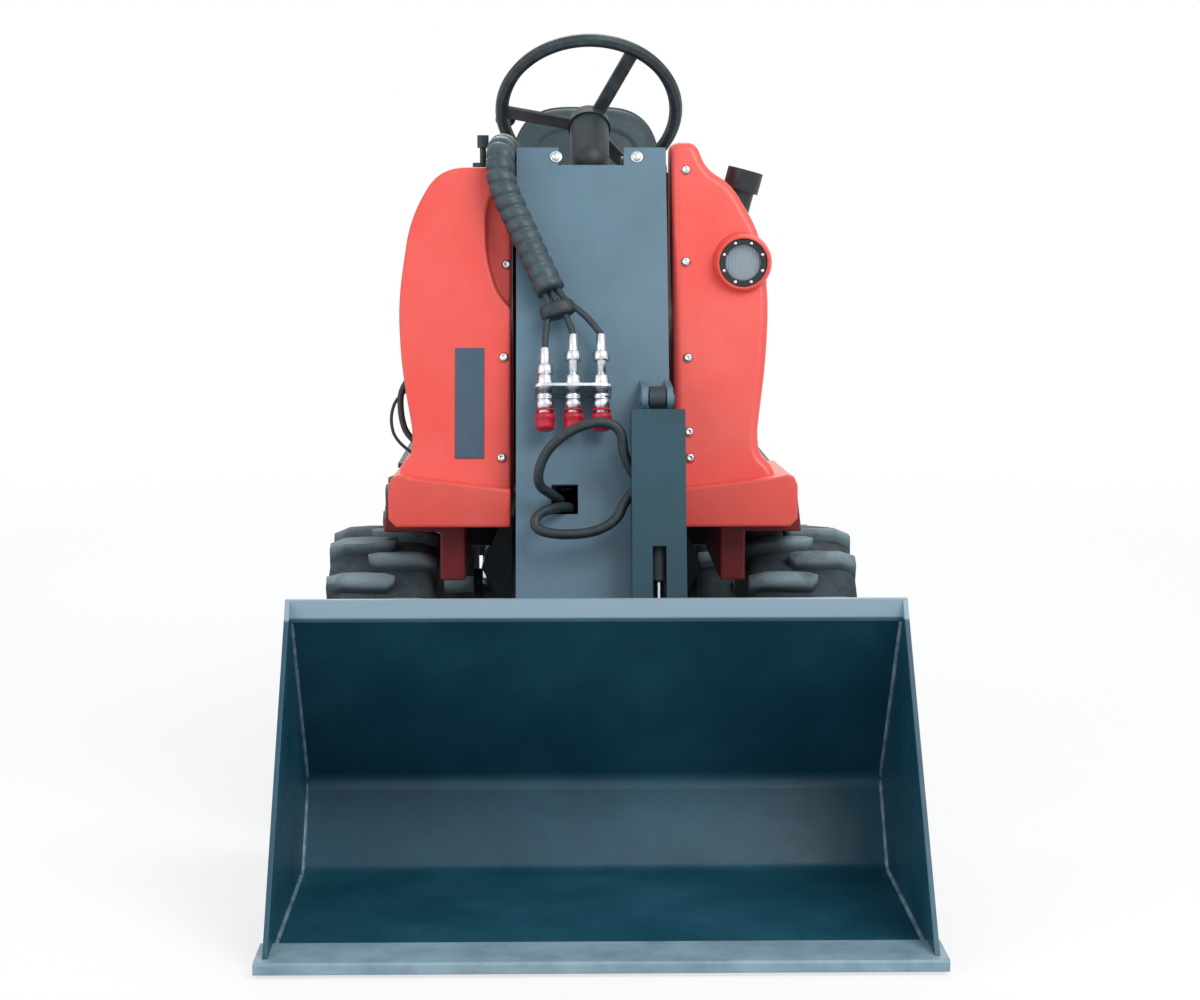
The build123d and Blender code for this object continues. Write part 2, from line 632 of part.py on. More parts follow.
# The guard's plane has local x across, local y to the rear and its depth down the cylinder
GUARD_PLANE = Plane(origin=TILT_BASE_PIN, x_dir=(-1, 0, 0), z_dir=TILT_DIR)
GUARD_SIGN = 1.0 if GUARD_PLANE.y_dir.Y > 0 else -1.0
with BuildPart() as tilt_guard:
    with BuildSketch(GUARD_PLANE.offset(GUARD_TOP)):
        with Locations((0, GUARD_SIGN * (GUARD_REAR - GUARD_FRONT) / 2)):
            Rectangle(GUARD_W, GUARD_FRONT + GUARD_REAR)
        with Locations((0, GUARD_SIGN * (GUARD_REAR - GUARD_FRONT) / 2 + GUARD_SIGN * GUARD_PLATE)):
            Rectangle(GUARD_W - 2 * GUARD_PLATE, GUARD_FRONT + GUARD_REAR, mode=Mode.SUBTRACT)
    extrude(amount=GUARD_BOTTOM - GUARD_TOP)
    with BuildSketch(GUARD_PLANE.offset(GUARD_TOP + GUARD_BAND_AT)):
        with Locations((0, GUARD_SIGN * (GUARD_REAR - GUARD_FRONT) / 2)):
            Rectangle(GUARD_W - 2, GUARD_FRONT + GUARD_REAR - 2)
        Circle(TILT_BARREL_R, mode=Mode.SUBTRACT)
    extrude(amount=10)
    slot_plane = Plane(origin=TILT_BASE_PIN + TILT_DIR * (GUARD_BOTTOM - GUARD_SLOT_L / 2), x_dir=(1, 0, 0),
                       z_dir=GUARD_PLANE.y_dir * -GUARD_SIGN)
    with BuildSketch(slot_plane):
        Rectangle(GUARD_SLOT_W, GUARD_SLOT_L)
    extrude(amount=GUARD_FRONT + 10, mode=Mode.SUBTRACT)
keep(tilt_guard, "tilt_guard")

with BuildPart() as tilt_rod:
    with BuildSketch(TILT_PLANE.offset(TILT_ROD_INSIDE)):
        Circle(TILT_ROD_R)
    extrude(amount=TILT_L - TILT_ROD_INSIDE)
    with BuildSketch(side_plane(TILT_X - TILT_EYE_W / 2)):
        with Locations((TILT_EYE_PIN.Y, TILT_EYE_PIN.Z)):
            Circle(TILT_EYE_R)
    extrude(amount=TILT_EYE_W)
keep(tilt_rod, "tilt_rod")

# Quick hitch: a plate on the bucket's back, two lugs on the boom pin and two on the tilt rod's eye
PIN_UP, PIN_OUT = back_place(BUCKET_PIN)
EYE_UP, EYE_OUT = back_place(Vector(0, TILT_EYE_Y, TILT_EYE_Z))
PLATE_OUT = BUCKET_PLATE + HITCH_GAP


def hitch_plane(x):
    """The hitch's side-view plane, with local x up the bucket's back and local y out behind it."""
    return Plane(origin=back_point(0, 0, x), x_dir=BACK_DIR, z_dir=BACK_DIR.cross(BACK_OUT))


HITCH_TO_LEFT = hitch_plane(0).z_dir.X
with BuildPart() as quick_hitch:
    with BuildSketch(hitch_plane(0)):
        with Locations(((HITCH_LOW + HITCH_HIGH) / 2, PLATE_OUT + HITCH_T / 2)):
            Rectangle(HITCH_HIGH - HITCH_LOW, HITCH_T)
        with Locations((HITCH_HIGH - HITCH_T / 2, PLATE_OUT + HITCH_T / 2 + 14)):
            Rectangle(HITCH_T, HITCH_T + 28)
    extrude(amount=HITCH_W / 2, both=True)
    for x in (HITCH_LUG_X, -HITCH_LUG_X):
        with BuildSketch(hitch_plane(x)):
            with BuildLine():
                Polyline(
                    (PIN_UP - 10, PIN_OUT + HITCH_LUG_R),
                    (PIN_UP + 20, PIN_OUT - HITCH_LUG_R + 4),
                    (HITCH_LOW, PLATE_OUT + HITCH_T - 1),
                    (HITCH_LOW + 90, PLATE_OUT + HITCH_T - 1),
                    close=True,
                )
            make_face()
            with Locations((PIN_UP, PIN_OUT)):
                Circle(HITCH_LUG_R)
        extrude(amount=HITCH_LUG_T / 2, both=True)
        with BuildSketch(hitch_plane(x)):
            with Locations((PIN_UP, PIN_OUT)):
                Circle(BUCKET_PIN_R + PIN_GAP)
        extrude(amount=HITCH_LUG_T, both=True, mode=Mode.SUBTRACT)
    for x in (TILT_X + TILT_EYE_W / 2 + LUG_GAP + TILT_LUG_T / 2, TILT_X - TILT_EYE_W / 2 - LUG_GAP - TILT_LUG_T / 2):
        with BuildSketch(hitch_plane(x)):
            with BuildLine():
                Polyline(
                    (EYE_UP - 45, PLATE_OUT + HITCH_T - 1),
                    (EYE_UP + 45, PLATE_OUT + HITCH_T - 1),
                    (EYE_UP + TILT_EYE_R, EYE_OUT),
                    (EYE_UP - TILT_EYE_R, EYE_OUT),
                    close=True,
                )
            make_face()
            with Locations((EYE_UP, EYE_OUT)):
                Circle(TILT_EYE_R)
        extrude(amount=TILT_LUG_T / 2, both=True)
keep(quick_hitch, "quick_hitch")

# Bucket: one bent sheet, two side plates, a lip bar and the hooks that the hitch carries
with BuildPart() as bucket:
    with BuildSketch(side_plane(0)):
        with BuildLine():
            FilletPolyline(
                (FRONT_Y + EDGE_L, GROUND_GAP + BUCKET_PLATE),
                (FLOOR_BEND_Y, GROUND_GAP + BUCKET_PLATE),
                (HEEL_Y, HEEL_Z),
                (LIP_Y, LIP_Z - LIP_H),
                radius=BUCKET_BEND_R,
            )
            offset(amount=BUCKET_PLATE, side=Side.RIGHT)
        make_face()
    extrude(amount=BUCKET_W / 2, both=True)
    with BuildSketch(side_plane(0)):
        with Locations((LIP_Y, LIP_Z - LIP_H / 2)):
            Rectangle(LIP_T, LIP_H + 4)
    extrude(amount=BUCKET_W / 2, both=True)
    for x in (BUCKET_W / 2 - BUCKET_PLATE, -BUCKET_W / 2):
        with BuildSketch(side_plane(x)):
            with BuildLine():
                Polyline(
                    (FRONT_Y + 24, GROUND_GAP + EDGE_T),
                    (FRONT_Y + EDGE_L, GROUND_GAP + EDGE_T),
                    (FRONT_Y + EDGE_L, GROUND_GAP),
                    (FLOOR_BEND_Y, GROUND_GAP),
                    (HEEL_Y, HEEL_Z - 8),
                    (HEEL_Y, HEEL_Z + 8),
                    (LIP_Y + 7, LIP_Z - 8),
                    (LIP_Y - 7, LIP_Z),
                    close=True,
                )
            make_face()
        extrude(amount=BUCKET_PLATE)
    for x in (HITCH_LUG_X + 60, -HITCH_LUG_X - 60):
        with BuildSketch(hitch_plane(x)):
            with Locations(((HITCH_LOW + HITCH_HIGH) / 2, (PLATE_OUT + BUCKET_PLATE / 2) / 2)):
                Rectangle(HITCH_HIGH - HITCH_LOW - 20, PLATE_OUT - BUCKET_PLATE / 2)
        extrude(amount=10, both=True)
keep(bucket, "bucket")

with BuildPart() as cutting_edge:
    with BuildSketch(side_plane(0)):
        with BuildLine():
            Polyline(
                (FRONT_Y, GROUND_GAP),
                (FRONT_Y + EDGE_L, GROUND_GAP),
                (FRONT_Y + EDGE_L, GROUND_GAP + EDGE_T),
                (FRONT_Y + 4, GROUND_GAP + EDGE_T),
                (FRONT_Y, GROUND_GAP + EDGE_T - 4),
                close=True,
            )
        make_face()
    extrude(amount=BUCKET_W / 2 + EDGE_OVERHANG, both=True)
keep(cutting_edge, "cutting_edge")

# Floor pan: the operator's floor on top of the chassis, with a slot for the boom and side skirts
with BuildPart() as floor_pan:
    with BuildSketch(Plane.XY.offset(STEP_LOW_Z - FLOOR_T)):
        with Locations((0, (COWL_LOW_FRONT_Y + FLOOR_REAR_Y) / 2)):
            Rectangle(2 * STEP_OUT_X - 24, FLOOR_REAR_Y - COWL_LOW_FRONT_Y)
        with Locations((0, (COWL_LOW_FRONT_Y + FLOOR_SLOT_Y) / 2)):
            Rectangle(CHASSIS_W - 10, FLOOR_SLOT_Y - COWL_LOW_FRONT_Y, mode=Mode.SUBTRACT)
    extrude(amount=FLOOR_T)
    for x in (SKIRT_X, -SKIRT_X - FLOOR_T):
        with BuildSketch(side_plane(x)):
            with BuildLine():
                Polyline(
                    (COWL_LOW_FRONT_Y, STEP_LOW_Z),
                    (COWL_LOW_FRONT_Y + 10, STEP_LOW_Z - 110),
                    (COWL_REAR_Y - 60, STEP_LOW_Z - 110),
                    (COWL_REAR_Y, STEP_LOW_Z),
                    close=True,
                )
            make_face()
        extrude(amount=FLOOR_T)
keep(floor_pan, "floor_pan")

# Cowls: the outline seen from the front, cut to the slope seen from the side, on a rounded step
RIGHT_OUTLINE = (
    (150.0, 1238.0), (278.0, 1238.0), (326.0, 1186.0), (346.0, 1100.0), (357.0, 992.0), (352.0, 870.0),
    (334.0, 745.0),
)
LEFT_OUTLINE = (
    (150.0, 1285.0), (190.0, 1285.0), (212.0, 1238.0), (256.0, 1210.0), (306.0, 1132.0), (326.0, 1080.0),
    (326.0, 992.0), (322.0, 880.0), (304.0, 745.0),
)
# Each cowl: name, side of the machine, outline
COWLS = (
    ("cowl_right", -1, RIGHT_OUTLINE),
    ("cowl_left", 1, LEFT_OUTLINE),
)
for cowl_name, side, outline in COWLS:
    with BuildPart() as cowl:
        with BuildSketch(Plane.XZ.offset(-COWL_REAR_Y)):
            with BuildLine():
                Polyline(
                    (side * COWL_INNER_X, STEP_LOW_Z),
                    *[(side * x, z) for x, z in outline],
                    (side * outline[-1][0], STEP_LOW_Z),
                    close=True,
                )
            make_face()
        extrude(amount=COWL_REAR_Y - STEP_FRONT_Y)
        with BuildSketch(side_plane(side * COWL_INNER_X)):
            with BuildLine():
                Polyline(
                    (COWL_LOW_FRONT_Y, STEP_LOW_Z),
                    (COWL_LOW_FRONT_Y, STEP_TOP_Z),
                    (COWL_TOP_FRONT_Y, LEFT_TOP_Z),
                    (COWL_TOP_FRONT_Y + 150, LEFT_TOP_Z),
                    (COWL_REAR_Y, STEP_TOP_Z),
                    (COWL_REAR_Y, STEP_LOW_Z),
                    close=True,
                )
            make_face()
        extrude(amount=side * 400, mode=Mode.INTERSECT)
        with BuildSketch(Plane.XZ.offset(-COWL_REAR_Y)):
            with BuildLine():
                Polyline(
                    (side * COWL_INNER_X, STEP_LOW_Z),
                    (side * COWL_INNER_X, STEP_TOP_Z - 40),
                    (side * (STEP_OUT_X - 24), STEP_TOP_Z),
                    (side * STEP_OUT_X, STEP_TOP_Z - 20),
                    (side * STEP_OUT_X, STEP_LOW_Z + 14),
                    (side * (STEP_OUT_X - 14), STEP_LOW_Z),
                    close=True,
                )
            make_face()
        extrude(amount=COWL_REAR_Y - STEP_FRONT_Y)
        if side > 0:
            lamp_plane = Plane.XZ.offset(-LAMP_BACK_Y)
            with BuildSketch(lamp_plane):
                with Locations((LAMP_X, LAMP_Z)):
                    Circle(LAMP_R + 6)
            extrude(amount=LAMP_DEPTH)
            with BuildSketch(lamp_plane):
                with Locations((LAMP_X, LAMP_Z)):
                    Circle(LAMP_R)
            extrude(amount=LAMP_DEPTH, mode=Mode.SUBTRACT)
    keep(cowl, cowl_name)

# Headlight: a flat ring with studs round a lens
with BuildPart() as headlight_ring:
    with BuildSketch(Plane.XZ.offset(-LAMP_BACK_Y)):
        with Locations((LAMP_X, LAMP_Z)):
            Circle(LAMP_R)
            Circle(LAMP_LENS_R, mode=Mode.SUBTRACT)
    extrude(amount=LAMP_DEPTH - 4)
keep(headlight_ring, "headlight_ring")

with BuildPart() as headlight_lens:
    with BuildSketch(Plane.XZ.offset(-LAMP_BACK_Y)):
        with Locations((LAMP_X, LAMP_Z)):
            Circle(LAMP_LENS_R)
    extrude(amount=LAMP_DEPTH - 12)
keep(headlight_lens, "headlight_lens")

# Filler cap: a neck and a screw cap that lean outward on the left cowl
CAP_PLANE = Plane(origin=(CAP_X, CAP_Y, CAP_Z), z_dir=(sin(radians(CAP_LEAN)), 0, cos(radians(CAP_LEAN))))
with BuildPart() as filler_cap:
    with BuildSketch(CAP_PLANE.offset(-CAP_NECK_L)):
        Circle(CAP_R * 0.78)
    extrude(amount=CAP_NECK_L)
    with BuildSketch(CAP_PLANE):
        Circle(CAP_R)
    extrude(amount=CAP_H)
keep(filler_cap, "filler_cap")

# Steering column: a post between the tower plates, then a housing that leans back to the wheel
with BuildPart() as steering_column:
    with BuildSketch(Plane.XY.offset(COLUMN_FOOT_Z)):
        with Locations((0, COLUMN_ELBOW.Y)):
            Circle(COLUMN_R * 0.75)
    extrude(amount=COLUMN_ELBOW.Z - COLUMN_FOOT_Z)
    with BuildSketch(Plane(origin=COLUMN_ELBOW, x_dir=(1, 0, 0), z_dir=STEER_NORMAL)):
        Circle(COLUMN_R)
    extrude(amount=COLUMN_L)
    with Locations(COLUMN_ELBOW):
        Sphere(COLUMN_R)
keep(steering_column, "steering_column")

WHEEL_PLANE = Plane(origin=STEER_CENTRE, x_dir=(1, 0, 0), z_dir=STEER_NORMAL)
with BuildPart() as steering_wheel:
    with BuildSketch(Plane(origin=STEER_CENTRE, x_dir=(1, 0, 0), z_dir=WHEEL_PLANE.y_dir)):
        with Locations((STEER_R, 0)):
            RegularPolygon(STEER_RIM_R, 8)
    revolve(axis=Axis(STEER_CENTRE, STEER_NORMAL))
    with BuildSketch(WHEEL_PLANE.offset(-STEER_DISH)):
        Circle(HUB_RADIUS)
    extrude(amount=26, taper=10)
    for angle in SPOKE_ANGLES:
        along = WHEEL_PLANE.x_dir * cos(radians(angle)) + WHEEL_PLANE.y_dir * sin(radians(angle))
        start = STEER_HUB + STEER_NORMAL * 14 + along * (HUB_RADIUS - 12)
        end = STEER_CENTRE + along * STEER_R
        with BuildSketch(Plane(origin=start, x_dir=along.cross(STEER_NORMAL), z_dir=end - start)):
            Rectangle(SPOKE_W, SPOKE_T)
        extrude(amount=(end - start).length)
    knob_at = radians(KNOB_ANGLE)
    knob_base = STEER_CENTRE + WHEEL_PLANE.x_dir * STEER_R * cos(knob_at) + WHEEL_PLANE.y_dir * STEER_R * sin(knob_at)
    with BuildSketch(Plane(origin=knob_base, x_dir=(1, 0, 0), z_dir=STEER_NORMAL)):
        Circle(10)
    extrude(amount=34)
    with BuildSketch(Plane(origin=knob_base + STEER_NORMAL * 30, x_dir=(1, 0, 0), z_dir=STEER_NORMAL)):
        Circle(KNOB_R)
    extrude(amount=28, taper=12)
keep(steering_wheel, "steering_wheel")

# Seat: a pedestal with two straps that carry the back, a cushion and a back
BACK_FOOT = Vector(0, SEAT_REAR_Y - 30, SEAT_Z + BACK_T * sin(radians(BACK_LEAN)) + 1)
BACK_PLANE = Plane(origin=BACK_FOOT, x_dir=(1, 0, 0),
                   z_dir=(0, -cos(radians(BACK_LEAN)), sin(radians(BACK_LEAN))))
BACK_H = (BACK_TOP_Z - BACK_FOOT.Z) / cos(radians(BACK_LEAN))
STRAP_TOP_Z = BACK_FOOT.Z - (STRAP_GAP + STRAP_T + 30) * tan(radians(BACK_LEAN))
with BuildPart() as seat_pedestal:
    with BuildSketch(side_plane(0)):
        with BuildLine():
            Polyline(
                (SEAT_FRONT_Y + 40, STEP_LOW_Z),
                (SEAT_REAR_Y - 20, STEP_LOW_Z),
                (SEAT_REAR_Y, SEAT_Z - CUSHION_T),
                (SEAT_FRONT_Y + 20, SEAT_Z - CUSHION_T),
                close=True,
            )
        make_face()
    extrude(amount=PEDESTAL_W / 2, both=True)
    for x in (STRAP_X, -STRAP_X):
        with BuildSketch(side_plane(x)):
            with BuildLine():
                Polyline(
                    (SEAT_REAR_Y - 30, SEAT_Z - CUSHION_T - 60),
                    (SEAT_REAR_Y + STRAP_GAP + STRAP_T, SEAT_Z - CUSHION_T - 30),
                    (SEAT_REAR_Y + STRAP_GAP + STRAP_T, STRAP_TOP_Z),
                    (SEAT_REAR_Y + STRAP_GAP, STRAP_TOP_Z),
                    (SEAT_REAR_Y + STRAP_GAP, SEAT_Z - CUSHION_T),
                    (SEAT_REAR_Y - 30, SEAT_Z - CUSHION_T),
                    close=True,
                )
            make_face()
        extrude(amount=20, both=True)
keep(seat_pedestal, "seat_pedestal")

with BuildPart() as seat_cushion:
    with BuildSketch(Plane.XY.offset(SEAT_Z - CUSHION_T)):
        with Locations((0, (SEAT_FRONT_Y + SEAT_REAR_Y) / 2)):
            RectangleRounded(SEAT_W, SEAT_REAR_Y - SEAT_FRONT_Y, 50)
    extrude(amount=CUSHION_T)
    fillet(seat_cushion.edges().group_by(Axis.Z)[-1], radius=22)
keep(seat_cushion, "seat_cushion")

with BuildPart() as seat_back:
    with BuildSketch(BACK_PLANE):
        with Locations((0, BACK_H / 2)):
            RectangleRounded(SEAT_BACK_W, BACK_H, SEAT_BACK_R)
    extrude(amount=-BACK_T)
    fillet(seat_back.edges().group_by(Axis.Y)[0], radius=20)
keep(seat_back, "seat_back")

# Controls: a joystick on the right cowl and two foot pedals
with BuildPart() as joystick:
    with BuildSketch(Plane.XY.offset(RIGHT_TOP_Z)):
        with Locations((-LEVER_X, LEVER_Y)):
            Circle(20)
    extrude(amount=10)
    with BuildSketch(Plane.XY.offset(RIGHT_TOP_Z + 10)):
        with Locations((-LEVER_X, LEVER_Y)):
            Circle(6)
    extrude(amount=34)
    with BuildSketch(Plane.XY.offset(RIGHT_TOP_Z + 38)):
        with Locations((-LEVER_X, LEVER_Y)):
            Circle(11)
    extrude(amount=24)
keep(joystick, "joystick")

with BuildPart() as pedals:
    for x in (PEDAL_X, -PEDAL_X):
        with BuildSketch(side_plane(x)):
            with BuildLine():
                Polyline(
                    (PEDAL_Y + 80, STEP_LOW_Z),
                    (PEDAL_Y - 60, STEP_LOW_Z + 90),
                    (PEDAL_Y - 66, STEP_LOW_Z + 82),
                    (PEDAL_Y - 10, STEP_LOW_Z),
                    close=True,
                )
            make_face()
        extrude(amount=40, both=True)
keep(pedals, "pedals")

# Hydraulic outlets: a bracket on the boom's face with a row of quick couplers, caps hanging below
OUTLET_POINT = boom_point(OUTLET_ALONG, -BOOM_FACE, OUTLET_X)
with BuildPart() as coupler_bracket:
    with BuildSketch(boom_plane(OUTLET_X)):
        with BuildLine():
            Polyline(
                (OUTLET_ALONG, -BOOM_FACE),
                (OUTLET_ALONG, -BOOM_FACE - OUTLET_REACH),
                (OUTLET_ALONG + OUTLET_PLATE, -BOOM_FACE - OUTLET_REACH),
                (OUTLET_ALONG + 60, -BOOM_FACE),
                close=True,
            )
        make_face()
    extrude(amount=OUTLET_W / 2, both=True)
keep(coupler_bracket, "coupler_bracket")

with BuildPart() as couplers:
    for step in (-1, 0, 1):
        base = boom_point(OUTLET_ALONG, -BOOM_FACE - OUTLET_REACH * 0.6, OUTLET_X + step * OUTLET_PITCH)
        with BuildSketch(Plane(origin=base, x_dir=(1, 0, 0), z_dir=-BOOM_DIR)):
            Circle(COUPLER_R)
        extrude(amount=COUPLER_UP * 0.5)
        with BuildSketch(Plane(origin=base - BOOM_DIR * COUPLER_UP * 0.5, x_dir=(1, 0, 0), z_dir=-BOOM_DIR)):
            Circle(COUPLER_R * 0.78)
        extrude(amount=COUPLER_UP * 0.5)
keep(couplers, "couplers")

# Rear chassis: a box behind the centre pivot, with the pivot arm between the front yoke plates
with BuildPart() as rear_chassis:
    with BuildSketch(side_plane(0)):
        with Locations(((REAR_BOX_Y + REAR_Y - TAIL_PROUD - BUMPER_T) / 2, (CHASSIS_LOW_Z + REAR_TOP_Z) / 2)):
            Rectangle(REAR_Y - TAIL_PROUD - BUMPER_T - REAR_BOX_Y, REAR_TOP_Z - CHASSIS_LOW_Z)
    extrude(amount=CHASSIS_W / 2, both=True)
    with BuildSketch(Plane.XY.offset(YOKE_LOW_Z + YOKE_T + SIDE_GAP)):
        with Locations((0, PIVOT_Y)):
            Circle(YOKE_R - 4)
        with Locations((0, (PIVOT_Y + REAR_BOX_Y) / 2)):
            Rectangle(2 * YOKE_R - 8, REAR_BOX_Y - PIVOT_Y + 2)
        with Locations((0, PIVOT_Y)):
            Circle(KINGPIN_R + PIN_GAP, mode=Mode.SUBTRACT)
    extrude(amount=YOKE_TOP_Z - YOKE_LOW_Z - 2 * YOKE_T - 2 * SIDE_GAP)
    with BuildSketch(Plane.XY.offset(REAR_TOP_Z)):
        with Locations((0, (HOOD_FRONT_Y + 30 + HOOD_REAR_Y + 24) / 2)):
            Rectangle(DECK_W, HOOD_REAR_Y - HOOD_FRONT_Y - 6)
    extrude(amount=DECK_T)
    for x in (HOOD_HINGE_X, -HOOD_HINGE_X):
        for ear in (x + HOOD_HINGE_W / 2 + SIDE_GAP + 4, x - HOOD_HINGE_W / 2 - SIDE_GAP - 4):
            with BuildSketch(side_plane(ear)):
                with Locations((HOOD_HINGE_Y, HOOD_HINGE_Z)):
                    Circle(HOOD_KNUCKLE_R)
                with Locations((HOOD_HINGE_Y, (HOOD_HINGE_Z + REAR_TOP_Z + DECK_T) / 2)):
                    Rectangle(2 * HOOD_KNUCKLE_R, HOOD_HINGE_Z - REAR_TOP_Z - DECK_T)
            extrude(amount=4, both=True)
        with BuildSketch(side_plane(x)):
            with Locations((HOOD_HINGE_Y, HOOD_HINGE_Z)):
                Circle(HOOD_PIN_R)
        extrude(amount=HOOD_HINGE_W / 2 + SIDE_GAP + 4, both=True)
    for z in (STEER_CYL_Z + STEER_EYE_H / 2 + LUG_GAP, STEER_CYL_Z - STEER_EYE_H / 2 - LUG_GAP - STEER_LUG_T):
        with BuildSketch(Plane.XY.offset(z)):
            with Locations((STEER_PIN_X, PIVOT_Y + STEER_PIN_REACH)):
                Circle(STEER_EYE_R)
            with Locations(((STEER_PIN_X - CHASSIS_W / 2) / 2, PIVOT_Y + STEER_PIN_REACH)):
                Rectangle(-STEER_PIN_X - CHASSIS_W / 2, 2 * STEER_EYE_R)
        extrude(amount=STEER_LUG_T)
    with BuildSketch(Plane.XY.offset(STEER_CYL_Z - STEER_EYE_H / 2 - LUG_GAP - STEER_LUG_T)):
        with Locations((STEER_PIN_X, PIVOT_Y + STEER_PIN_REACH)):
            Circle(STEER_PIN_R)
    extrude(amount=STEER_EYE_H + 2 * LUG_GAP + 2 * STEER_LUG_T)
keep(rear_chassis, "rear_chassis")

# Steering cylinder: barrel on the rear chassis, rod forward to the front chassis
STEER_PLANE = Plane(origin=(STEER_PIN_X, PIVOT_Y + STEER_PIN_REACH, STEER_CYL_Z), z_dir=(0, -1, 0))
with BuildPart() as steer_barrel:
    with BuildSketch(STEER_PLANE):
        Circle(STEER_EYE_H / 2 - SIDE_GAP)
    extrude(amount=STEER_NECK)
    with BuildSketch(STEER_PLANE.offset(STEER_NECK)):
        Circle(STEER_BARREL_R)
    extrude(amount=STEER_BARREL_L - STEER_NECK)
    with BuildSketch(STEER_PLANE.offset(STEER_NECK + CAP_END_T)):
        Circle(STEER_ROD_R + PIN_GAP)
    extrude(amount=STEER_BARREL_L, mode=Mode.SUBTRACT)
    with BuildSketch(Plane.XY.offset(STEER_CYL_Z - STEER_EYE_H / 2)):
        with Locations((STEER_PIN_X, PIVOT_Y + STEER_PIN_REACH)):
            Circle(STEER_EYE_R)
    extrude(amount=STEER_EYE_H)
    with BuildSketch(Plane.XY.offset(STEER_CYL_Z - STEER_EYE_H / 2)):
        with Locations((STEER_PIN_X, PIVOT_Y + STEER_PIN_REACH)):
            Circle(STEER_PIN_R + PIN_GAP)
    extrude(amount=STEER_EYE_H, mode=Mode.SUBTRACT)
keep(steer_barrel, "steer_barrel")

with BuildPart() as steer_rod:
    with BuildSketch(STEER_PLANE.offset(STEER_ROD_INSIDE)):
        Circle(STEER_ROD_R)
    extrude(amount=2 * STEER_PIN_REACH - STEER_ROD_INSIDE)
    with BuildSketch(Plane.XY.offset(STEER_CYL_Z - STEER_EYE_H / 2)):
        with Locations((STEER_PIN_X, PIVOT_Y - STEER_PIN_REACH)):
            Circle(STEER_EYE_R)
    extrude(amount=STEER_EYE_H)
keep(steer_rod, "steer_rod")

# Engine: one block on the rear deck
with BuildPart() as engine_block:
    with BuildSketch(Plane.XY.offset(REAR_TOP_Z + DECK_T)):
        with Locations((0, (HOOD_FRONT_Y + HOOD_REAR_Y) / 2)):
            Rectangle(HOOD_W - 180, HOOD_REAR_Y - HOOD_FRONT_Y - 160)
    extrude(amount=HOOD_TOP_Z - REAR_TOP_Z - DECK_T - 70)
keep(engine_block, "engine_block")

# Hood: a shell over the engine, hinged along its lower rear edge
with BuildPart() as hood:
    with BuildSketch(side_plane(0)):
        with BuildLine():
            Polyline(
                (HOOD_FRONT_Y, HOOD_LOW_Z),
                (HOOD_REAR_Y, HOOD_LOW_Z),
                (HOOD_REAR_Y - 14, HOOD_TOP_Z - 110),
                (HOOD_REAR_Y - 90, HOOD_TOP_Z - 26),
                (HOOD_FRONT_Y + 60, HOOD_TOP_Z),
                (HOOD_FRONT_Y + 16, HOOD_TOP_Z - 40),
                close=True,
            )
        make_face()
    extrude(amount=HOOD_W / 2, both=True)
    chamfer(hood.faces().sort_by(Axis.Z)[-1].edges().filter_by(Axis.X, reverse=True), length=30)
    offset(amount=-HOOD_WALL, openings=hood.faces().sort_by(Axis.Z)[0])
    for x in (HOOD_HINGE_X, -HOOD_HINGE_X):
        with BuildSketch(side_plane(x)):
            with Locations((HOOD_HINGE_Y, HOOD_HINGE_Z)):
                Circle(HOOD_KNUCKLE_R - SIDE_GAP / 2)
            with Locations(((HOOD_HINGE_Y + HOOD_REAR_Y - HOOD_WALL) / 2, HOOD_HINGE_Z)):
                Rectangle(HOOD_HINGE_Y - HOOD_REAR_Y + HOOD_WALL, HOOD_KNUCKLE_R)
            with Locations((HOOD_HINGE_Y, HOOD_HINGE_Z)):
                Circle(HOOD_PIN_R + PIN_GAP, mode=Mode.SUBTRACT)
        extrude(amount=HOOD_HINGE_W / 2, both=True)
keep(hood, "hood")

# Rear bumper: the counterweight across the back, with the tail lamps in it
with BuildPart() as bumper:
    with BuildSketch(Plane.XY.offset(BUMPER_LOW_Z)):
        with Locations((0, REAR_Y - TAIL_PROUD - BUMPER_T / 2)):
            Rectangle(BUMPER_W, BUMPER_T)
    extrude(amount=BUMPER_TOP_Z - BUMPER_LOW_Z)
    chamfer(bumper.edges().filter_by(Axis.Z).group_by(Axis.Y)[-1], length=40)
keep(bumper, "bumper")

with BuildPart() as tail_lamps:
    for side in (1, -1):
        with BuildSketch(Plane.XZ.offset(-REAR_Y)):
            with Locations((side * (BUMPER_W / 2 - 110), (BUMPER_LOW_Z + BUMPER_TOP_Z) / 2 + 40)):
                RectangleRounded(110, 44, 10)
        extrude(amount=TAIL_PROUD)
keep(tail_lamps, "tail_lamps")
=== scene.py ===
"""Dress the articulated mini loader: finishes, hoses, seat pads, fasteners, light and camera."""

from __future__ import annotations

import json
import logging
import math
from dataclasses import dataclass
from enum import Enum
from typing import Sequence

import bmesh
import bpy
from mathutils import Euler, Matrix, Vector

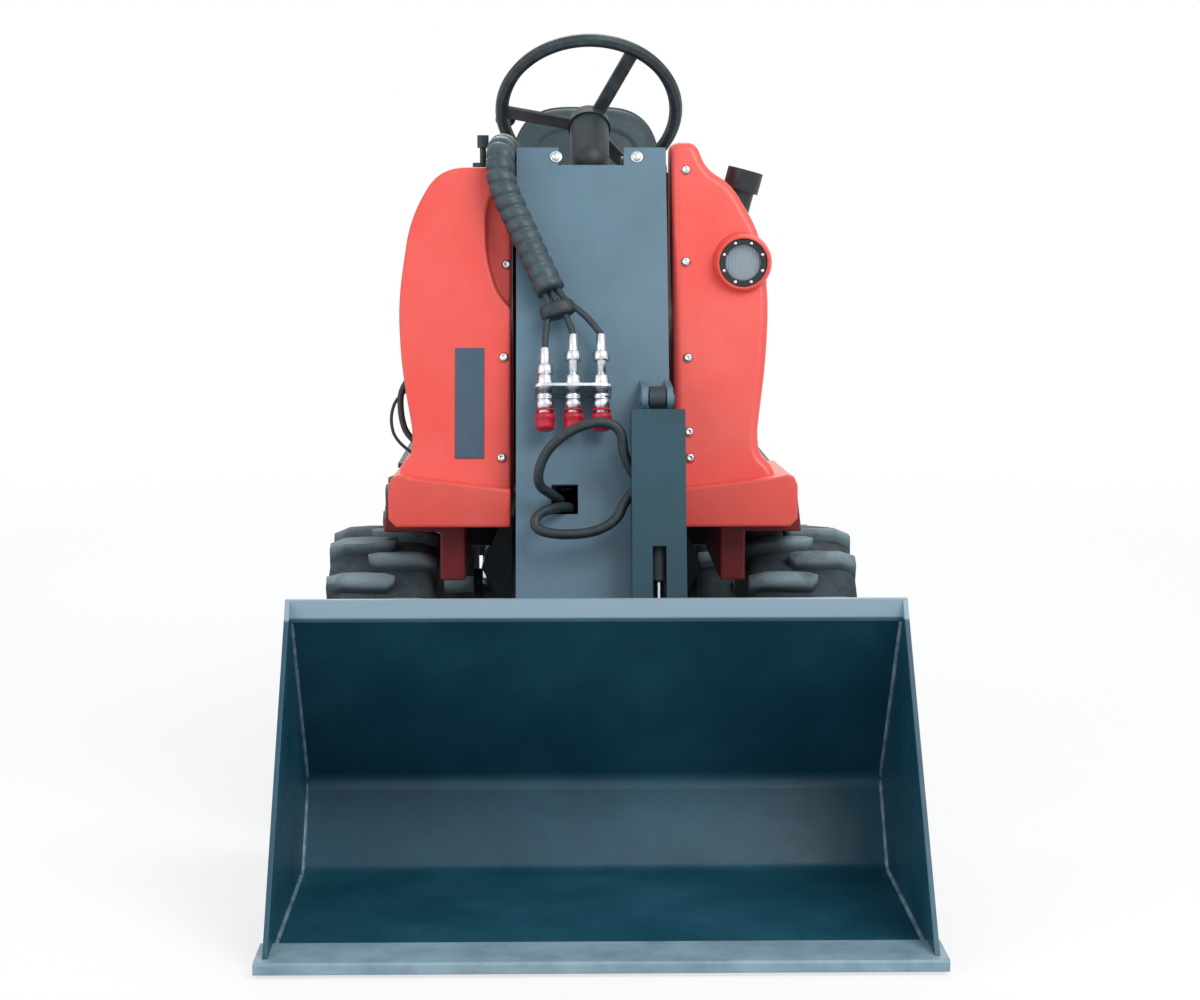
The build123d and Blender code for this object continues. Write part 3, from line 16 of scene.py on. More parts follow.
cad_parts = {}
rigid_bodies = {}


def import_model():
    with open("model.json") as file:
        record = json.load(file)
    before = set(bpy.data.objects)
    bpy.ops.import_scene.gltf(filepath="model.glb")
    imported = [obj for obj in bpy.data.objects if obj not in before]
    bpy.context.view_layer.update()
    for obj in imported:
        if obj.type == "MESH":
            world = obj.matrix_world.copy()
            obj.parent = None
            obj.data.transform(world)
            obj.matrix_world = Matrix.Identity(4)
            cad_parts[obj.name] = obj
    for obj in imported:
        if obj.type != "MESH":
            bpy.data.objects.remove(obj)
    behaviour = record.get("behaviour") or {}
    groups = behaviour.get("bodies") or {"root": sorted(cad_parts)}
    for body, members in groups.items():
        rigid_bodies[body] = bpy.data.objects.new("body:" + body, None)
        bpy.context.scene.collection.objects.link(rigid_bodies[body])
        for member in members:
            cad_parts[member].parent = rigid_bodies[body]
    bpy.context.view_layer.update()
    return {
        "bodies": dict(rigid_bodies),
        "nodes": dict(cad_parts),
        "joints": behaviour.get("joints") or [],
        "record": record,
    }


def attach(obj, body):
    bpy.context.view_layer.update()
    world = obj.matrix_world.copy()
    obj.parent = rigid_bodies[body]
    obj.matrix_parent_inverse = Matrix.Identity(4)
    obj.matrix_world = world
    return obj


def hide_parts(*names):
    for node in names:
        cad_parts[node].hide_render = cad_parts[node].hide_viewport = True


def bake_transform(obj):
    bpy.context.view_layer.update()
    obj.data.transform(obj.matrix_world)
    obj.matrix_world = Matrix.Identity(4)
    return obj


log = logging.getLogger("loader")

MM = 0.001
# A place in a plane, a place in space, and a place with the way it faces
Pair = tuple[float, float]
Triple = tuple[float, float, float]
Spot = tuple[Vector, Vector]
# Points nearer than this are one point
SAME_PLACE = 0.01 * MM

# Sides of a rounded edge, and the angle from which an edge is rounded
BEVEL_STEPS, BEVEL_DEG = 4, 38
# The boom's own frame: its pivot, the way down the boom and the way behind it
BOOM_PIVOT = Vector((0.0, -0.160, 1.225))
BOOM_DOWN = Vector((0.0, -0.37299, -0.92783))
BOOM_REAR = Vector((0.0, 0.92783, -0.37299))
# Outward way of the cowls' sloping front
COWL_OUT = Vector((0.0, -0.9675, 0.2529))
SIDE = Vector((1.0, 0.0, 0.0))


def linear(code: str) -> tuple[float, float, float, float]:
    """Turn an sRGB hex colour into Blender's linear colour.

    Args:
        code: Colour as "#rrggbb".

    Returns:
        Linear red, green, blue and an alpha of one.
    """
    parts = [int(code[i:i + 2], 16) / 255 for i in (1, 3, 5)]
    lin = [c / 12.92 if c <= 0.04045 else ((c + 0.055) / 1.055) ** 2.4 for c in parts]
    return lin[0], lin[1], lin[2], 1.0


def add_node(tree: bpy.types.NodeTree, kind: str, inputs: dict[str | int, object] | None = None,
             **settings: object) -> bpy.types.Node:
    """Add a node with its settings, input values and links.

    Args:
        tree: Tree that gets the node.
        kind: Blender's node type.
        inputs: Values or output sockets by the input's name or number.
        **settings: The node's own properties.

    Returns:
        The new node.
    """
    node = tree.nodes.new(kind)
    for name, value in settings.items():
        setattr(node, name, value)
    for key, value in (inputs or {}).items():
        if isinstance(value, bpy.types.NodeSocket):
            tree.links.new(value, node.inputs[key])
        else:
            node.inputs[key].default_value = value
    return node


def boom_point(along: float, rear: float, across: float) -> Vector:
    """Place a point on the boom.

    Args:
        along: Millimetres down the boom from its pivot.
        rear: Millimetres behind the pivot line, less than zero in front of it.
        across: Millimetres towards the machine's left.

    Returns:
        The point in metres.
    """
    return BOOM_PIVOT + (BOOM_DOWN * along + BOOM_REAR * rear + SIDE * across) * MM


class Surface(Enum):
    """How a finish breaks up its colour and gloss."""

    SMOOTH = "smooth"
    MOTTLED = "mottled"
    DUSTY = "dusty"
    FLUTED = "fluted"


# Shader settings that all finishes share
FLUTE_SCALE = 0.31416
GRAIN_PER_MARK = 6
COAT_ROUGH = 0.08
EDGE_SAMPLES = 4
MARK_MIDDLE, MARK_PER_SHARE = 0.62, 0.3
MARK_BELOW, MARK_ABOVE = 0.12, 0.16
DUST_FROM, DUST_TO = -0.6, 0.9
GLOSS_BELOW, GLOSS_ABOVE = 0.07, 0.12
LEAST_ROUGH = 0.04
# Softness of the lower edge of the painted highlight on a lip
HIGHLIGHT_BAND_SOFT = 4 * MM


@dataclass(frozen=True)
class Finish:
    """One real material: its colour, gloss and the marks that use leaves on it.

    Attributes:
        name: Plain name of the material.
        colour: Base colour as sRGB hex.
        second: Colour that dust, wear or mottling brings in, as sRGB hex.
        rough: Roughness of the clean surface.
        metal: Metalness from 0 to 1.
        surface: How the colour and gloss are broken up.
        mark_mm: Size of the marks in millimetres.
        share: How much of the surface the second colour takes, from 0 to 1.
        bump_mm: Depth of the grain in millimetres.
        coat: Weight of a clear coat.
        edge_mm: Radius of the softened edges in millimetres.
        highlight_band: Colour of a painted highlight strip at the top of the piece, where it faces the light,
            as sRGB hex, or nothing.
        highlight_band_z: Height in metres where the painted highlight begins.
    """

    name: str
    colour: str
    second: str
    rough: float
    metal: float = 0.0
    surface: Surface = Surface.MOTTLED
    mark_mm: float = 60.0
    share: float = 0.3
    bump_mm: float = 0.0
    coat: float = 0.0
    edge_mm: float = 2.5
    highlight_band: str = ""
    highlight_band_z: float = 0.0

    def build(self) -> bpy.types.Material:
        """Make the Blender material, once for each name.

        Returns:
            The material with its shader nodes.
        """
        known = bpy.data.materials.get(self.name)
        if known is not None:
            return known
        material = bpy.data.materials.new(self.name)
        material.use_nodes = True
        tree = material.node_tree
        shader = tree.nodes["Principled BSDF"]
        shader.inputs["Metallic"].default_value = self.metal
        shader.inputs["Roughness"].default_value = self.rough
        shader.inputs["Base Color"].default_value = linear(self.colour)
        if self.coat:
            shader.inputs["Coat Weight"].default_value = self.coat
            shader.inputs["Coat Roughness"].default_value = COAT_ROUGH
        soft = add_node(tree, "ShaderNodeBevel", {"Radius": self.edge_mm * MM}, samples=EDGE_SAMPLES)
        tree.links.new(soft.outputs["Normal"], shader.inputs["Normal"])
        if self.surface is Surface.SMOOTH:
            return material
        place = add_node(tree, "ShaderNodeTexCoord").outputs["Object"]
        if self.surface is Surface.FLUTED:
            scale = FLUTE_SCALE / (self.mark_mm * MM)
            height = add_node(tree, "ShaderNodeTexWave", {"Vector": place, "Scale": scale},
                              bands_direction="X").outputs["Fac"]
        else:
            height = self.mottle(tree, shader, place)
        if self.bump_mm:
            bump = add_node(tree, "ShaderNodeBump", {"Strength": 1.0, "Distance": self.bump_mm * MM,
                                                     "Height": height, "Normal": soft.outputs["Normal"]})
            tree.links.new(bump.outputs["Normal"], shader.inputs["Normal"])
        return material

    def mottle(self, tree: bpy.types.NodeTree, shader: bpy.types.Node,
               place: bpy.types.NodeSocket) -> bpy.types.NodeSocket:
        """Break up the colour and the gloss with the second colour.

        Args:
            tree: The material's tree.
            shader: The shader that gets the colour and the roughness.
            place: Object coordinates.

        Returns:
            The fine grain, as a height for the bump.
        """
        scale = 1 / (self.mark_mm * MM)
        broad = add_node(tree, "ShaderNodeTexNoise", {"Vector": place, "Scale": scale, "Detail": 6.0,
                                                      "Roughness": 0.62})
        fine = add_node(tree, "ShaderNodeTexNoise", {"Vector": place, "Scale": GRAIN_PER_MARK * scale,
                                                     "Detail": 3.0, "Roughness": 0.5})
        edge = MARK_MIDDLE - MARK_PER_SHARE * self.share
        weight = add_node(tree, "ShaderNodeMapRange", {"Value": broad.outputs["Fac"],
                                                       "From Min": edge - MARK_BELOW,
                                                       "From Max": edge + MARK_ABOVE}).outputs[0]
        if self.surface is Surface.DUSTY:
            facing = add_node(tree, "ShaderNodeNewGeometry").outputs["Normal"]
            up = add_node(tree, "ShaderNodeSeparateXYZ", {0: facing}).outputs["Z"]
            upward = add_node(tree, "ShaderNodeMapRange", {"Value": up, "From Min": DUST_FROM,
                                                           "From Max": DUST_TO})
            weight = add_node(tree, "ShaderNodeMath", {0: weight, 1: upward.outputs[0]},
                              operation="MULTIPLY").outputs[0]
        colours = {0: weight, 6: linear(self.colour), 7: linear(self.second)}
        colour = add_node(tree, "ShaderNodeMix", colours, data_type="RGBA").outputs[2]
        # Painted highlight: a lighter strip above the given height, for the light on the bucket's up-facing
        # lip
        if self.highlight_band:
            height = add_node(tree, "ShaderNodeSeparateXYZ", {0: place}).outputs["Z"]
            above = add_node(tree, "ShaderNodeMapRange", {"Value": height, "From Min": self.highlight_band_z,
                                                          "From Max": self.highlight_band_z + HIGHLIGHT_BAND_SOFT}).outputs[0]
            colour = add_node(tree, "ShaderNodeMix", {0: above, 6: colour, 7: linear(self.highlight_band)},
                              data_type="RGBA").outputs[2]
        tree.links.new(colour, shader.inputs["Base Color"])
        gloss = add_node(tree, "ShaderNodeMapRange", {"Value": fine.outputs["Fac"],
                                                      "To Min": max(LEAST_ROUGH, self.rough - GLOSS_BELOW),
                                                      "To Max": min(1.0, self.rough + GLOSS_ABOVE)})
        tree.links.new(gloss.outputs[0], shader.inputs["Roughness"])
        return fine.outputs["Fac"]


# Rotomoulded cowl plastic: soft coral red, a faint orange peel
RED_PLASTIC = Finish("red_cowl_plastic", "#E74D44", "#E95E55", 0.42, mark_mm=180,
                     share=0.25, bump_mm=0.05, coat=0.15, edge_mm=7.0)
# The wheel arches' liners, a darker red: painted shade, as the insides of the arches lie in deep shade
SHADED_LINER_PLASTIC = Finish("liner_red_painted_shade", "#6A141A", "#7A1E24", 0.55, mark_mm=120,
                       share=0.25, bump_mm=0.05, edge_mm=4.0)
# Satin slate powder coat on the boom
BOOM_ENAMEL = Finish("slate_powder_coat", "#567688", "#4E6C7D", 0.42, mark_mm=140, share=0.3,
                     bump_mm=0.03, coat=0.1)
# The boom's powder coat darkened to dark teal for the tilt cylinder's guard: painted shade, as its upright
# front stands in shade
SHADED_GUARD_ENAMEL = Finish("guard_coat_painted_shade", "#063846", "#0B4352", 0.45, mark_mm=120, share=0.3,
                      bump_mm=0.03)
# Bucket enamel: dark teal, set darker to match the bucket's shaded back, so partly painted shade; rubbed
# paler by the load, with a painted highlight along the lip where it faces the light
BUCKET_ENAMEL = Finish("bucket_enamel", "#0B4053", "#1E5264", 0.4, mark_mm=220, share=0.3,
                       bump_mm=0.06, highlight_band="#8AA3B3", highlight_band_z=0.482)
# Rubbed enamel on the cutting edge
EDGE_STEEL = Finish("rubbed_edge_enamel", "#88A2B0", "#6C8695", 0.42, mark_mm=90, share=0.35,
                    bump_mm=0.05)
# Chassis enamel, nearly black with a blue cast
CHASSIS_ENAMEL = Finish("dark_chassis_enamel", "#1A262C", "#2B383E", 0.5, mark_mm=120,
                        share=0.3)
# Tyre rubber with pale dust on what faces up
TYRE_RUBBER = Finish("dusty_tyre_rubber", "#303C42", "#7E929B", 0.78, surface=Surface.DUSTY, mark_mm=70,
                     share=0.85, bump_mm=0.3, edge_mm=4.0)
# The same rubber between the lugs, with less dust and set darker: painted shade in the hollows between the
# lugs
SHADED_CARCASS_RUBBER = Finish("tyre_carcass_rubber_painted_shade", "#141E23", "#3A484F", 0.8, surface=Surface.DUSTY, mark_mm=60,
                        share=0.5, bump_mm=0.3, edge_mm=4.0)
# Pale rim enamel
RIM_ENAMEL = Finish("rim_enamel", "#8E989D", "#6E777B", 0.45, mark_mm=60, share=0.3)
# Moulded plastic of caps, knobs and levers
BLACK_PLASTIC = Finish("black_moulded_plastic", "#162127", "#1F2B31", 0.4, mark_mm=40,
                       bump_mm=0.04)
# Steering wheel foam, a little greyed by hands
WHEEL_FOAM = Finish("steering_wheel_foam", "#1C292F", "#33454E", 0.5, mark_mm=30,
                    bump_mm=0.06)
# Seat vinyl with a leather grain, drawn a little coarse so that it shows
SEAT_VINYL = Finish("seat_vinyl", "#263A42", "#2E444C", 0.55, mark_mm=14, bump_mm=0.15)
# Smooth vinyl piping along the seat's seams
SEAT_PIPING = Finish("seat_piping", "#1A282E", "#223239", 0.45, mark_mm=20)
# Bright zinc plate on couplers, screws and fittings
ZINC_STEEL = Finish("zinc_plated_steel", "#DDE2E6", "#C2C8CD", 0.24, metal=1.0, mark_mm=12,
                    share=0.3, edge_mm=0.8)
# Hard chrome on the cylinder rods
ROD_CHROME = Finish("hard_chrome", "#D5D8DC", "#D5D8DC", 0.1, metal=1.0, surface=Surface.SMOOTH)
# Hose rubber, with the print of its cloth wrap drawn coarse
HOSE_RUBBER = Finish("hose_rubber", "#18262C", "#23343B", 0.5, mark_mm=18, bump_mm=0.1)
# Spiral guard over the hose bundle, greyed by dust
WRAP_PLASTIC = Finish("spiral_hose_guard", "#22343B", "#3B525A", 0.45, surface=Surface.DUSTY, mark_mm=40,
                      share=0.7, bump_mm=0.08)
# Crimson rubber of the dust caps
CAP_RUBBER = Finish("crimson_cap_rubber", "#B80A2A", "#C81C3A", 0.4, mark_mm=20, edge_mm=1.5)
# Headlamp lens, fluted over its reflector
LAMP_LENS = Finish("lamp_lens", "#8594A0", "#8594A0", 0.1, surface=Surface.FLUTED, mark_mm=6, bump_mm=0.6,
                   coat=1.0)
# Red tail lamp lens
TAIL_LENS = Finish("tail_lamp_lens", "#8E1014", "#8E1014", 0.2, surface=Surface.FLUTED, mark_mm=5,
                   bump_mm=0.4, coat=0.6)
# Cast engine and counterweight
CAST_IRON = Finish("cast_iron", "#2F393E", "#414C51", 0.6, mark_mm=16, bump_mm=0.25)
# Dark slate panel set in the right cowl
PANEL_SLATE = Finish("slate_panel", "#3B5468", "#34495B", 0.5, mark_mm=60, bump_mm=0.03)
# Weld metal under the bucket's enamel
WELD_ENAMEL = Finish("enamelled_weld", "#4F7081", "#93ABB8", 0.36, mark_mm=30, share=0.4)

# Each wheel: body, tyre node, centre in millimetres
WHEELS = (
    ("front_left_wheel", "front_left_tyre", (390, -190, 280)),
    ("front_right_wheel", "front_right_tyre", (-390, -190, 280)),
    ("rear_left_wheel", "rear_left_tyre", (350, 810, 280)),
    ("rear_right_wheel", "rear_right_tyre", (-350, 810, 280)),
)

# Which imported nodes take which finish
FINISH_NODES: tuple[tuple[Finish, tuple[str, ...]], ...] = (
    (CHASSIS_ENAMEL, ("front_chassis", "floor_pan", "steering_column", "seat_pedestal", "front_wheel_motors",
                      "lift_barrel", "steer_barrel", "tilt_barrel", "quick_hitch", "rear_chassis",
                      "rear_wheel_motors")),
    (RED_PLASTIC, ("cowl_left", "cowl_right", "hood")),
    (BLACK_PLASTIC, ("headlight_ring", "filler_cap", "joystick", "pedals")),
    (LAMP_LENS, ("headlight_lens",)),
    (SEAT_VINYL, ("seat_cushion", "seat_back")),
    (WHEEL_FOAM, ("steering_wheel",)),
    (ROD_CHROME, ("lift_rod", "steer_rod", "tilt_rod")),
    (BOOM_ENAMEL, ("boom",)),
    (ZINC_STEEL, ("coupler_bracket", "couplers")),
    # Painted shade: the guard takes a darkened copy of the boom's coat
    (SHADED_GUARD_ENAMEL, ("tilt_guard",)),
    (BUCKET_ENAMEL, ("bucket",)),
    (EDGE_STEEL, ("cutting_edge",)),
    (CAST_IRON, ("engine_block", "bumper")),
    (TAIL_LENS, ("tail_lamps",)),
    (TYRE_RUBBER, tuple(tyre for _, tyre, _ in WHEELS)),
    (RIM_ENAMEL, tuple(body.replace("wheel", "rim") for body, _, _ in WHEELS)),
)


def make_piece(name: str, mesh: bpy.types.Mesh, finish: Finish) -> bpy.types.Object:
    """Link a mesh as a smooth-shaded object with one finish.

    Args:
        name: Name of the piece.
        mesh: Its mesh, with its place in the vertices.
        finish: What it is made of.

    Returns:
        The new object at the origin.
    """
    mesh.materials.clear()
    mesh.materials.append(finish.build())
    mesh.polygons.foreach_set("use_smooth", [True] * len(mesh.polygons))
    item = bpy.data.objects.new(name, mesh)
    bpy.context.collection.objects.link(item)
    return item


def smooth_line(route: Sequence[Vector], steps: int = 20) -> list[Vector]:
    """Read the points of the smooth curve that a route's points control.

    Args:
        route: The route's points in metres.
        steps: Points read for each of the route's points.

    Returns:
        The points of the curve in order.
    """
    curve = bpy.data.curves.new("route", "CURVE")
    curve.dimensions = "3D"
    curve.resolution_u = steps
    spline = curve.splines.new("NURBS")
    spline.points.add(len(route) - 1)
    for point, place in zip(spline.points, route):
        point.co = (*place, 1.0)
    spline.order_u = 3
    spline.use_endpoint_u = True
    holder = bpy.data.objects.new("route", curve)
    mesh = bpy.data.meshes.new_from_object(holder)
    line = [vertex.co.copy() for vertex in mesh.vertices]
    bpy.data.objects.remove(holder)
    bpy.data.meshes.remove(mesh)
    return line


def line_length(line: Sequence[Vector]) -> float:
    """Add up the lengths of a line's steps, in metres."""
    return sum((b - a).length for a, b in zip(line, line[1:]))


def skin(form: bmesh.types.BMesh, rows: Sequence[list[bmesh.types.BMVert]]) -> None:
    """Span closed rows with faces, each row to the next.

    Args:
        form: The form that gets the faces.
        rows: Rows of the same number of points, or of one point where the form closes.
    """
    for low, high in zip(rows, rows[1:]):
        count = max(len(low), len(high))
        for i in range(count):
            j = (i + 1) % count
            corners = (low[i % len(low)], low[j % len(low)], high[j % len(high)], high[i % len(high)])
            form.faces.new(list(dict.fromkeys(corners)))


def mesh_of(name: str, form: bmesh.types.BMesh) -> bpy.types.Mesh:
    """Make a mesh of a form, with its faces turned outwards.

    Args:
        name: Name of the mesh.
        form: The form, which is freed.

    Returns:
        The mesh.
    """
    bmesh.ops.remove_doubles(form, verts=form.verts, dist=SAME_PLACE)
    bmesh.ops.recalc_face_normals(form, faces=form.faces)
    mesh = bpy.data.meshes.new(name)
    form.to_mesh(mesh)
    form.free()
    return mesh


def turned_mesh(name: str, *forms: tuple[Sequence[Pair], int]) -> bpy.types.Mesh:
    """Make a mesh of one or more forms turned about Z, closed where a profile reaches the axis.

    Args:
        name: Name of the mesh.
        *forms: Profile as radius and height in millimetres, and number of sides of each form.

    Returns:
        The mesh, standing on the origin.
    """
    form = bmesh.new()
    for profile, sides in forms:
        rows = []
        for radius, height in profile:
            angles = [math.tau * i / sides for i in range(sides)] if radius else [0.0]
            rows.append([form.verts.new(Vector((radius * math.cos(a), radius * math.sin(a), height)) * MM)
                         for a in angles])
        skin(form, rows)
    return mesh_of(name, form)


def solid_mesh(name: str, *stacks: Sequence[Sequence[Vector]]) -> bpy.types.Mesh:
    """Make a mesh of solids through rows of points, with a face over each end.

    Args:
        name: Name of the mesh.
        *stacks: The rows of each solid, in metres.

    Returns:
        The closed mesh.
    """
    form = bmesh.new()
    for stack in stacks:
        rows = [[form.verts.new(point) for point in row] for row in stack]
        skin(form, rows)
        for end in (rows[0], rows[-1]):
            form.faces.new(end)
    return mesh_of(name, form)


@dataclass
class Paintwork:
    """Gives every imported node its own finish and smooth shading.

    Attributes:
        sharp_deg: Angle in degrees from which an edge stays sharp.
        weld_mm: Distance in millimetres under which the corners of facets are joined.
    """

    sharp_deg: float = 32.0
    weld_mm: float = 0.02

    def build(self, nodes: dict[str, bpy.types.Object]) -> None:
        """Put the finishes on the node objects.

        Args:
            nodes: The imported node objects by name.
        """
        finishes = {name: finish for finish, names in FINISH_NODES for name in names}
        for name, item in nodes.items():
            finish = finishes[name]
            material = finish.build()
            if not item.material_slots:
                item.data.materials.append(material)
            for slot in item.material_slots:
                slot.material = material
            item.data.polygons.foreach_set("use_smooth", [True] * len(item.data.polygons))
            weld = item.modifiers.new("join_facets", "WELD")
            weld.merge_threshold = self.weld_mm * MM
            split = item.modifiers.new("keep_sharp_edges", "EDGE_SPLIT")
            split.split_angle = math.radians(self.sharp_deg)
            log.info("painted %s with %s", name, finish.name)


@dataclass
class Hose:
    """One hydraulic hose, drawn as a tube along its smooth route.

    Attributes:
        name: Name of the piece.
        route: The route's points in metres.
        radius: Radius of the tube in metres.
        bodies: The body that it rides on, or two bodies, in which case it rides on neither and keeps its
            place.
        finish: What it is made of.
        sides: Number of points round the tube.
        far_end: What is on its far end; not used.
        bend: Shares of its length for a pass from the first body to the second; not used.
    """

    name: str
    route: list[Vector]
    radius: float
    bodies: tuple[str, ...]
    finish: Finish = HOSE_RUBBER
    sides: int = 20
    far_end: str = "object"
    bend: Pair = (0.0, 1.0)

    def radius_at(self, run: float, angle: float) -> float:
        """Radius of the tube at a place along it and round it."""
        return self.radius

    def tube(self, line: Sequence[Vector]) -> bpy.types.Mesh:
        """Sweep the tube along a line and close its ends.

        Args:
            line: Points of the centre line.

        Returns:
            The tube's mesh.
        """
        rings: list[list[Vector]] = []
        across = (line[1] - line[0]).orthogonal().normalized()
        run = 0.0
        for i, point in enumerate(line):
            ahead = (line[min(i + 1, len(line) - 1)] - line[max(i - 1, 0)]).normalized()
            across = (across - ahead * across.dot(ahead)).normalized()
            other = ahead.cross(across)
            run += (point - line[i - 1]).length if i else 0.0
            ring = []
            for k in range(self.sides):
                angle = math.tau * k / self.sides
                way = across * math.cos(angle) + other * math.sin(angle)
                ring.append(point + way * self.radius_at(run, angle))
            rings.append(ring)
        return solid_mesh(self.name, rings)

    def build(self) -> bpy.types.Object:
        """Returns:
            The hose's object.
        """
        line = smooth_line(self.route)
        item = make_piece(self.name, self.tube(line), self.finish)
        if len(self.bodies) == 2:
            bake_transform(item)
        else:
            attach(item, self.bodies[0])
        log.info("ran %s, %.0f mm", self.name, line_length(line) / MM)
        return item


@dataclass
class WrappedHose(Hose):
    """A bundle of hoses inside a spiral guard, whose turns swell between narrow grooves.

    Attributes:
        pitch: Length of one turn of the guard in metres.
        groove: Depth of the groove between turns in metres.
    """

    pitch: float = 0.025
    groove: float = 0.0045

    def radius_at(self, run: float, angle: float) -> float:
        """Radius of the guard, least in the groove between two turns."""
        phase = (run / self.pitch + angle / math.tau) % 1.0
        return self.radius - self.groove * abs(2 * phase - 1) ** 4


@dataclass
class Hydraulics:
    """The hoses on the boom, their sleeve and their gland on the cowl.

    Attributes:
        tilt_upper: Route of the tilt cylinder's upper hose, in millimetres along, behind and across the boom.
        tilt_lower: Route of its lower hose.
        outlets: Routes from the bundle to the three couplers.
        bundle_top: First points of the bundle's route, as millimetres in X, Y and Z.
        bundle_low: Its other points, on the boom.
        side_cable: Route of the thin cable on the right cowl's outer side, as millimetres in X, Y and Z.
        side_lead: Route of the thicker lead beside it.
        tilt_radius: Radius of the tilt cylinder's hoses in metres.
        cable_radius: Radius of the thin cable.
        lead_radius: Radius of the thicker lead.
        outlet_radius: Radius of the hoses to the couplers.
        bundle_radius: Radius of the bundle.
        bundle_bend: Shares of the bundle's length given to it as its bend.
        sleeve_at: Middle of the sleeve on the boom in millimetres.
        sleeve_way: How far the sleeve's axis runs down the boom and across it.
        sleeve_flat: Thickness of the sleeve as a share of its width.
    """

    tilt_upper: tuple[Triple, ...] = (
        (648, -36, -60), (652, -84, -72), (640, -116, -104), (590, -142, -90), (553, -162, -44),
        (536, -166, 12), (550, -158, 50), (598, -138, 52), (626, -124, 72),
    )
    tilt_lower: tuple[Triple, ...] = (
        (662, -36, -43), (668, -74, -58), (692, -106, -104), (722, -112, -106), (733, -114, -66),
        (730, -116, 0), (706, -119, 42), (676, -120, 52), (652, -120, 72),
    )
    outlets: tuple[tuple[str, tuple[Triple, ...]], ...] = (
        ("right", ((269.3, -86, -87.9), (294.9, -87, -76.5), (338, -91, -86), (376, -92, -87))),
        ("middle", ((264, -86, -76), (289.6, -87, -64.6), (320, -91, -44), (350, -92, -36))),
        ("left", ((258.7, -86, -64.1), (282.4, -87, -53.5), (312, -92, -12), (350, -92, 15))),
    )
    bundle_top: tuple[Triple, ...] = (
        (-157, -96.3, 1266), (-158, -136, 1266), (-166, -188, 1278), (-170, -244, 1260), (-167, -268, 1203),
    )
    bundle_low: tuple[Triple, ...] = ((125, -85, -137), (199, -85, -105), (264, -86, -76))
    side_cable: tuple[Triple, ...] = (
        (-334, -255, 828), (-362, -260, 818), (-378, -268, 772), (-364, -274, 724), (-318, -280, 698),
    )
    side_lead: tuple[Triple, ...] = (
        (-334, -258, 852), (-357, -262, 832), (-357, -270, 778), (-344, -276, 738), (-318, -280, 722),
    )
    tilt_radius: float = 9 * MM
    cable_radius: float = 3 * MM
    lead_radius: float = 6 * MM
    outlet_radius: float = 6 * MM
    bundle_radius: float = 27 * MM
    bundle_bend: Pair = (0.08, 0.58)
    sleeve_at: Triple = (302, -88, -64)
    sleeve_way: Pair = (0.96, 0.28)
    sleeve_flat: float = 0.62

    def build(self) -> None:
        """Make every hose, the sleeve and the gland."""
        for name, route in (("tilt_hose_upper", self.tilt_upper), ("tilt_hose_lower", self.tilt_lower)):
            Hose(name, [boom_point(*place) for place in route], self.tilt_radius,
                 ("boom_body", "tilt_barrel_body")).build()
        for side, route in self.outlets:
            Hose(f"outlet_hose_{side}", [boom_point(*place) for place in route], self.outlet_radius,
                 ("boom_body",)).build()
        top = [Vector(place) * MM for place in self.bundle_top]
        route = top + [boom_point(*place) for place in self.bundle_low]
        WrappedHose("hose_bundle", route, self.bundle_radius, ("front_body", "boom_body"),
                    finish=WRAP_PLASTIC, sides=48, bend=self.bundle_bend).build()
        for name, route, radius in (("side_cable", self.side_cable, self.cable_radius),
                                    ("side_lead", self.side_lead, self.lead_radius)):
            Hose(name, [Vector(place) * MM for place in route], radius, ("front_body",)).build()
        self.make_sleeve()
        self.make_gland()

    def make_sleeve(self) -> None:
        """Slip a flat rubber sleeve over the outlet hoses below the bundle."""
        profile = ((0, -13), (27, -13), (31, -11), (33, -6), (33, 6), (31, 11), (27, 13), (0, 13))
        mesh = turned_mesh("hose_sleeve", (profile, 36))
        down = (BOOM_DOWN * self.sleeve_way[0] + SIDE * self.sleeve_way[1]).normalized()
        frame = Matrix((BOOM_REAR.cross(down), BOOM_REAR, down)).transposed().to_4x4()
        mesh.transform(Matrix.Translation(boom_point(*self.sleeve_at)) @ frame
                       @ Matrix.Diagonal((1.0, self.sleeve_flat, 1.0, 1.0)))
        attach(make_piece("hose_sleeve", mesh, HOSE_RUBBER), "boom_body")
        log.info("made hose_sleeve")

    def make_gland(self) -> None:
        """Stand the bundle's rubber gland on the right cowl's top."""
        profile = ((0, 0), (29, 0), (30, 3), (30, 12), (27, 16), (27, 30), (29, 33), (28, 36), (0, 36))
        mesh = turned_mesh("hose_gland", (profile, 36))
        foot = Vector(self.bundle_top[0]) + Vector((0.0, profile[-1][1], 0.0))
        mesh.transform(Matrix.Translation(foot * MM) @ Matrix.Rotation(math.pi / 2, 4, "X"))
        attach(make_piece("hose_gland", mesh, HOSE_RUBBER), "front_body")
        log.info("made hose_gland")


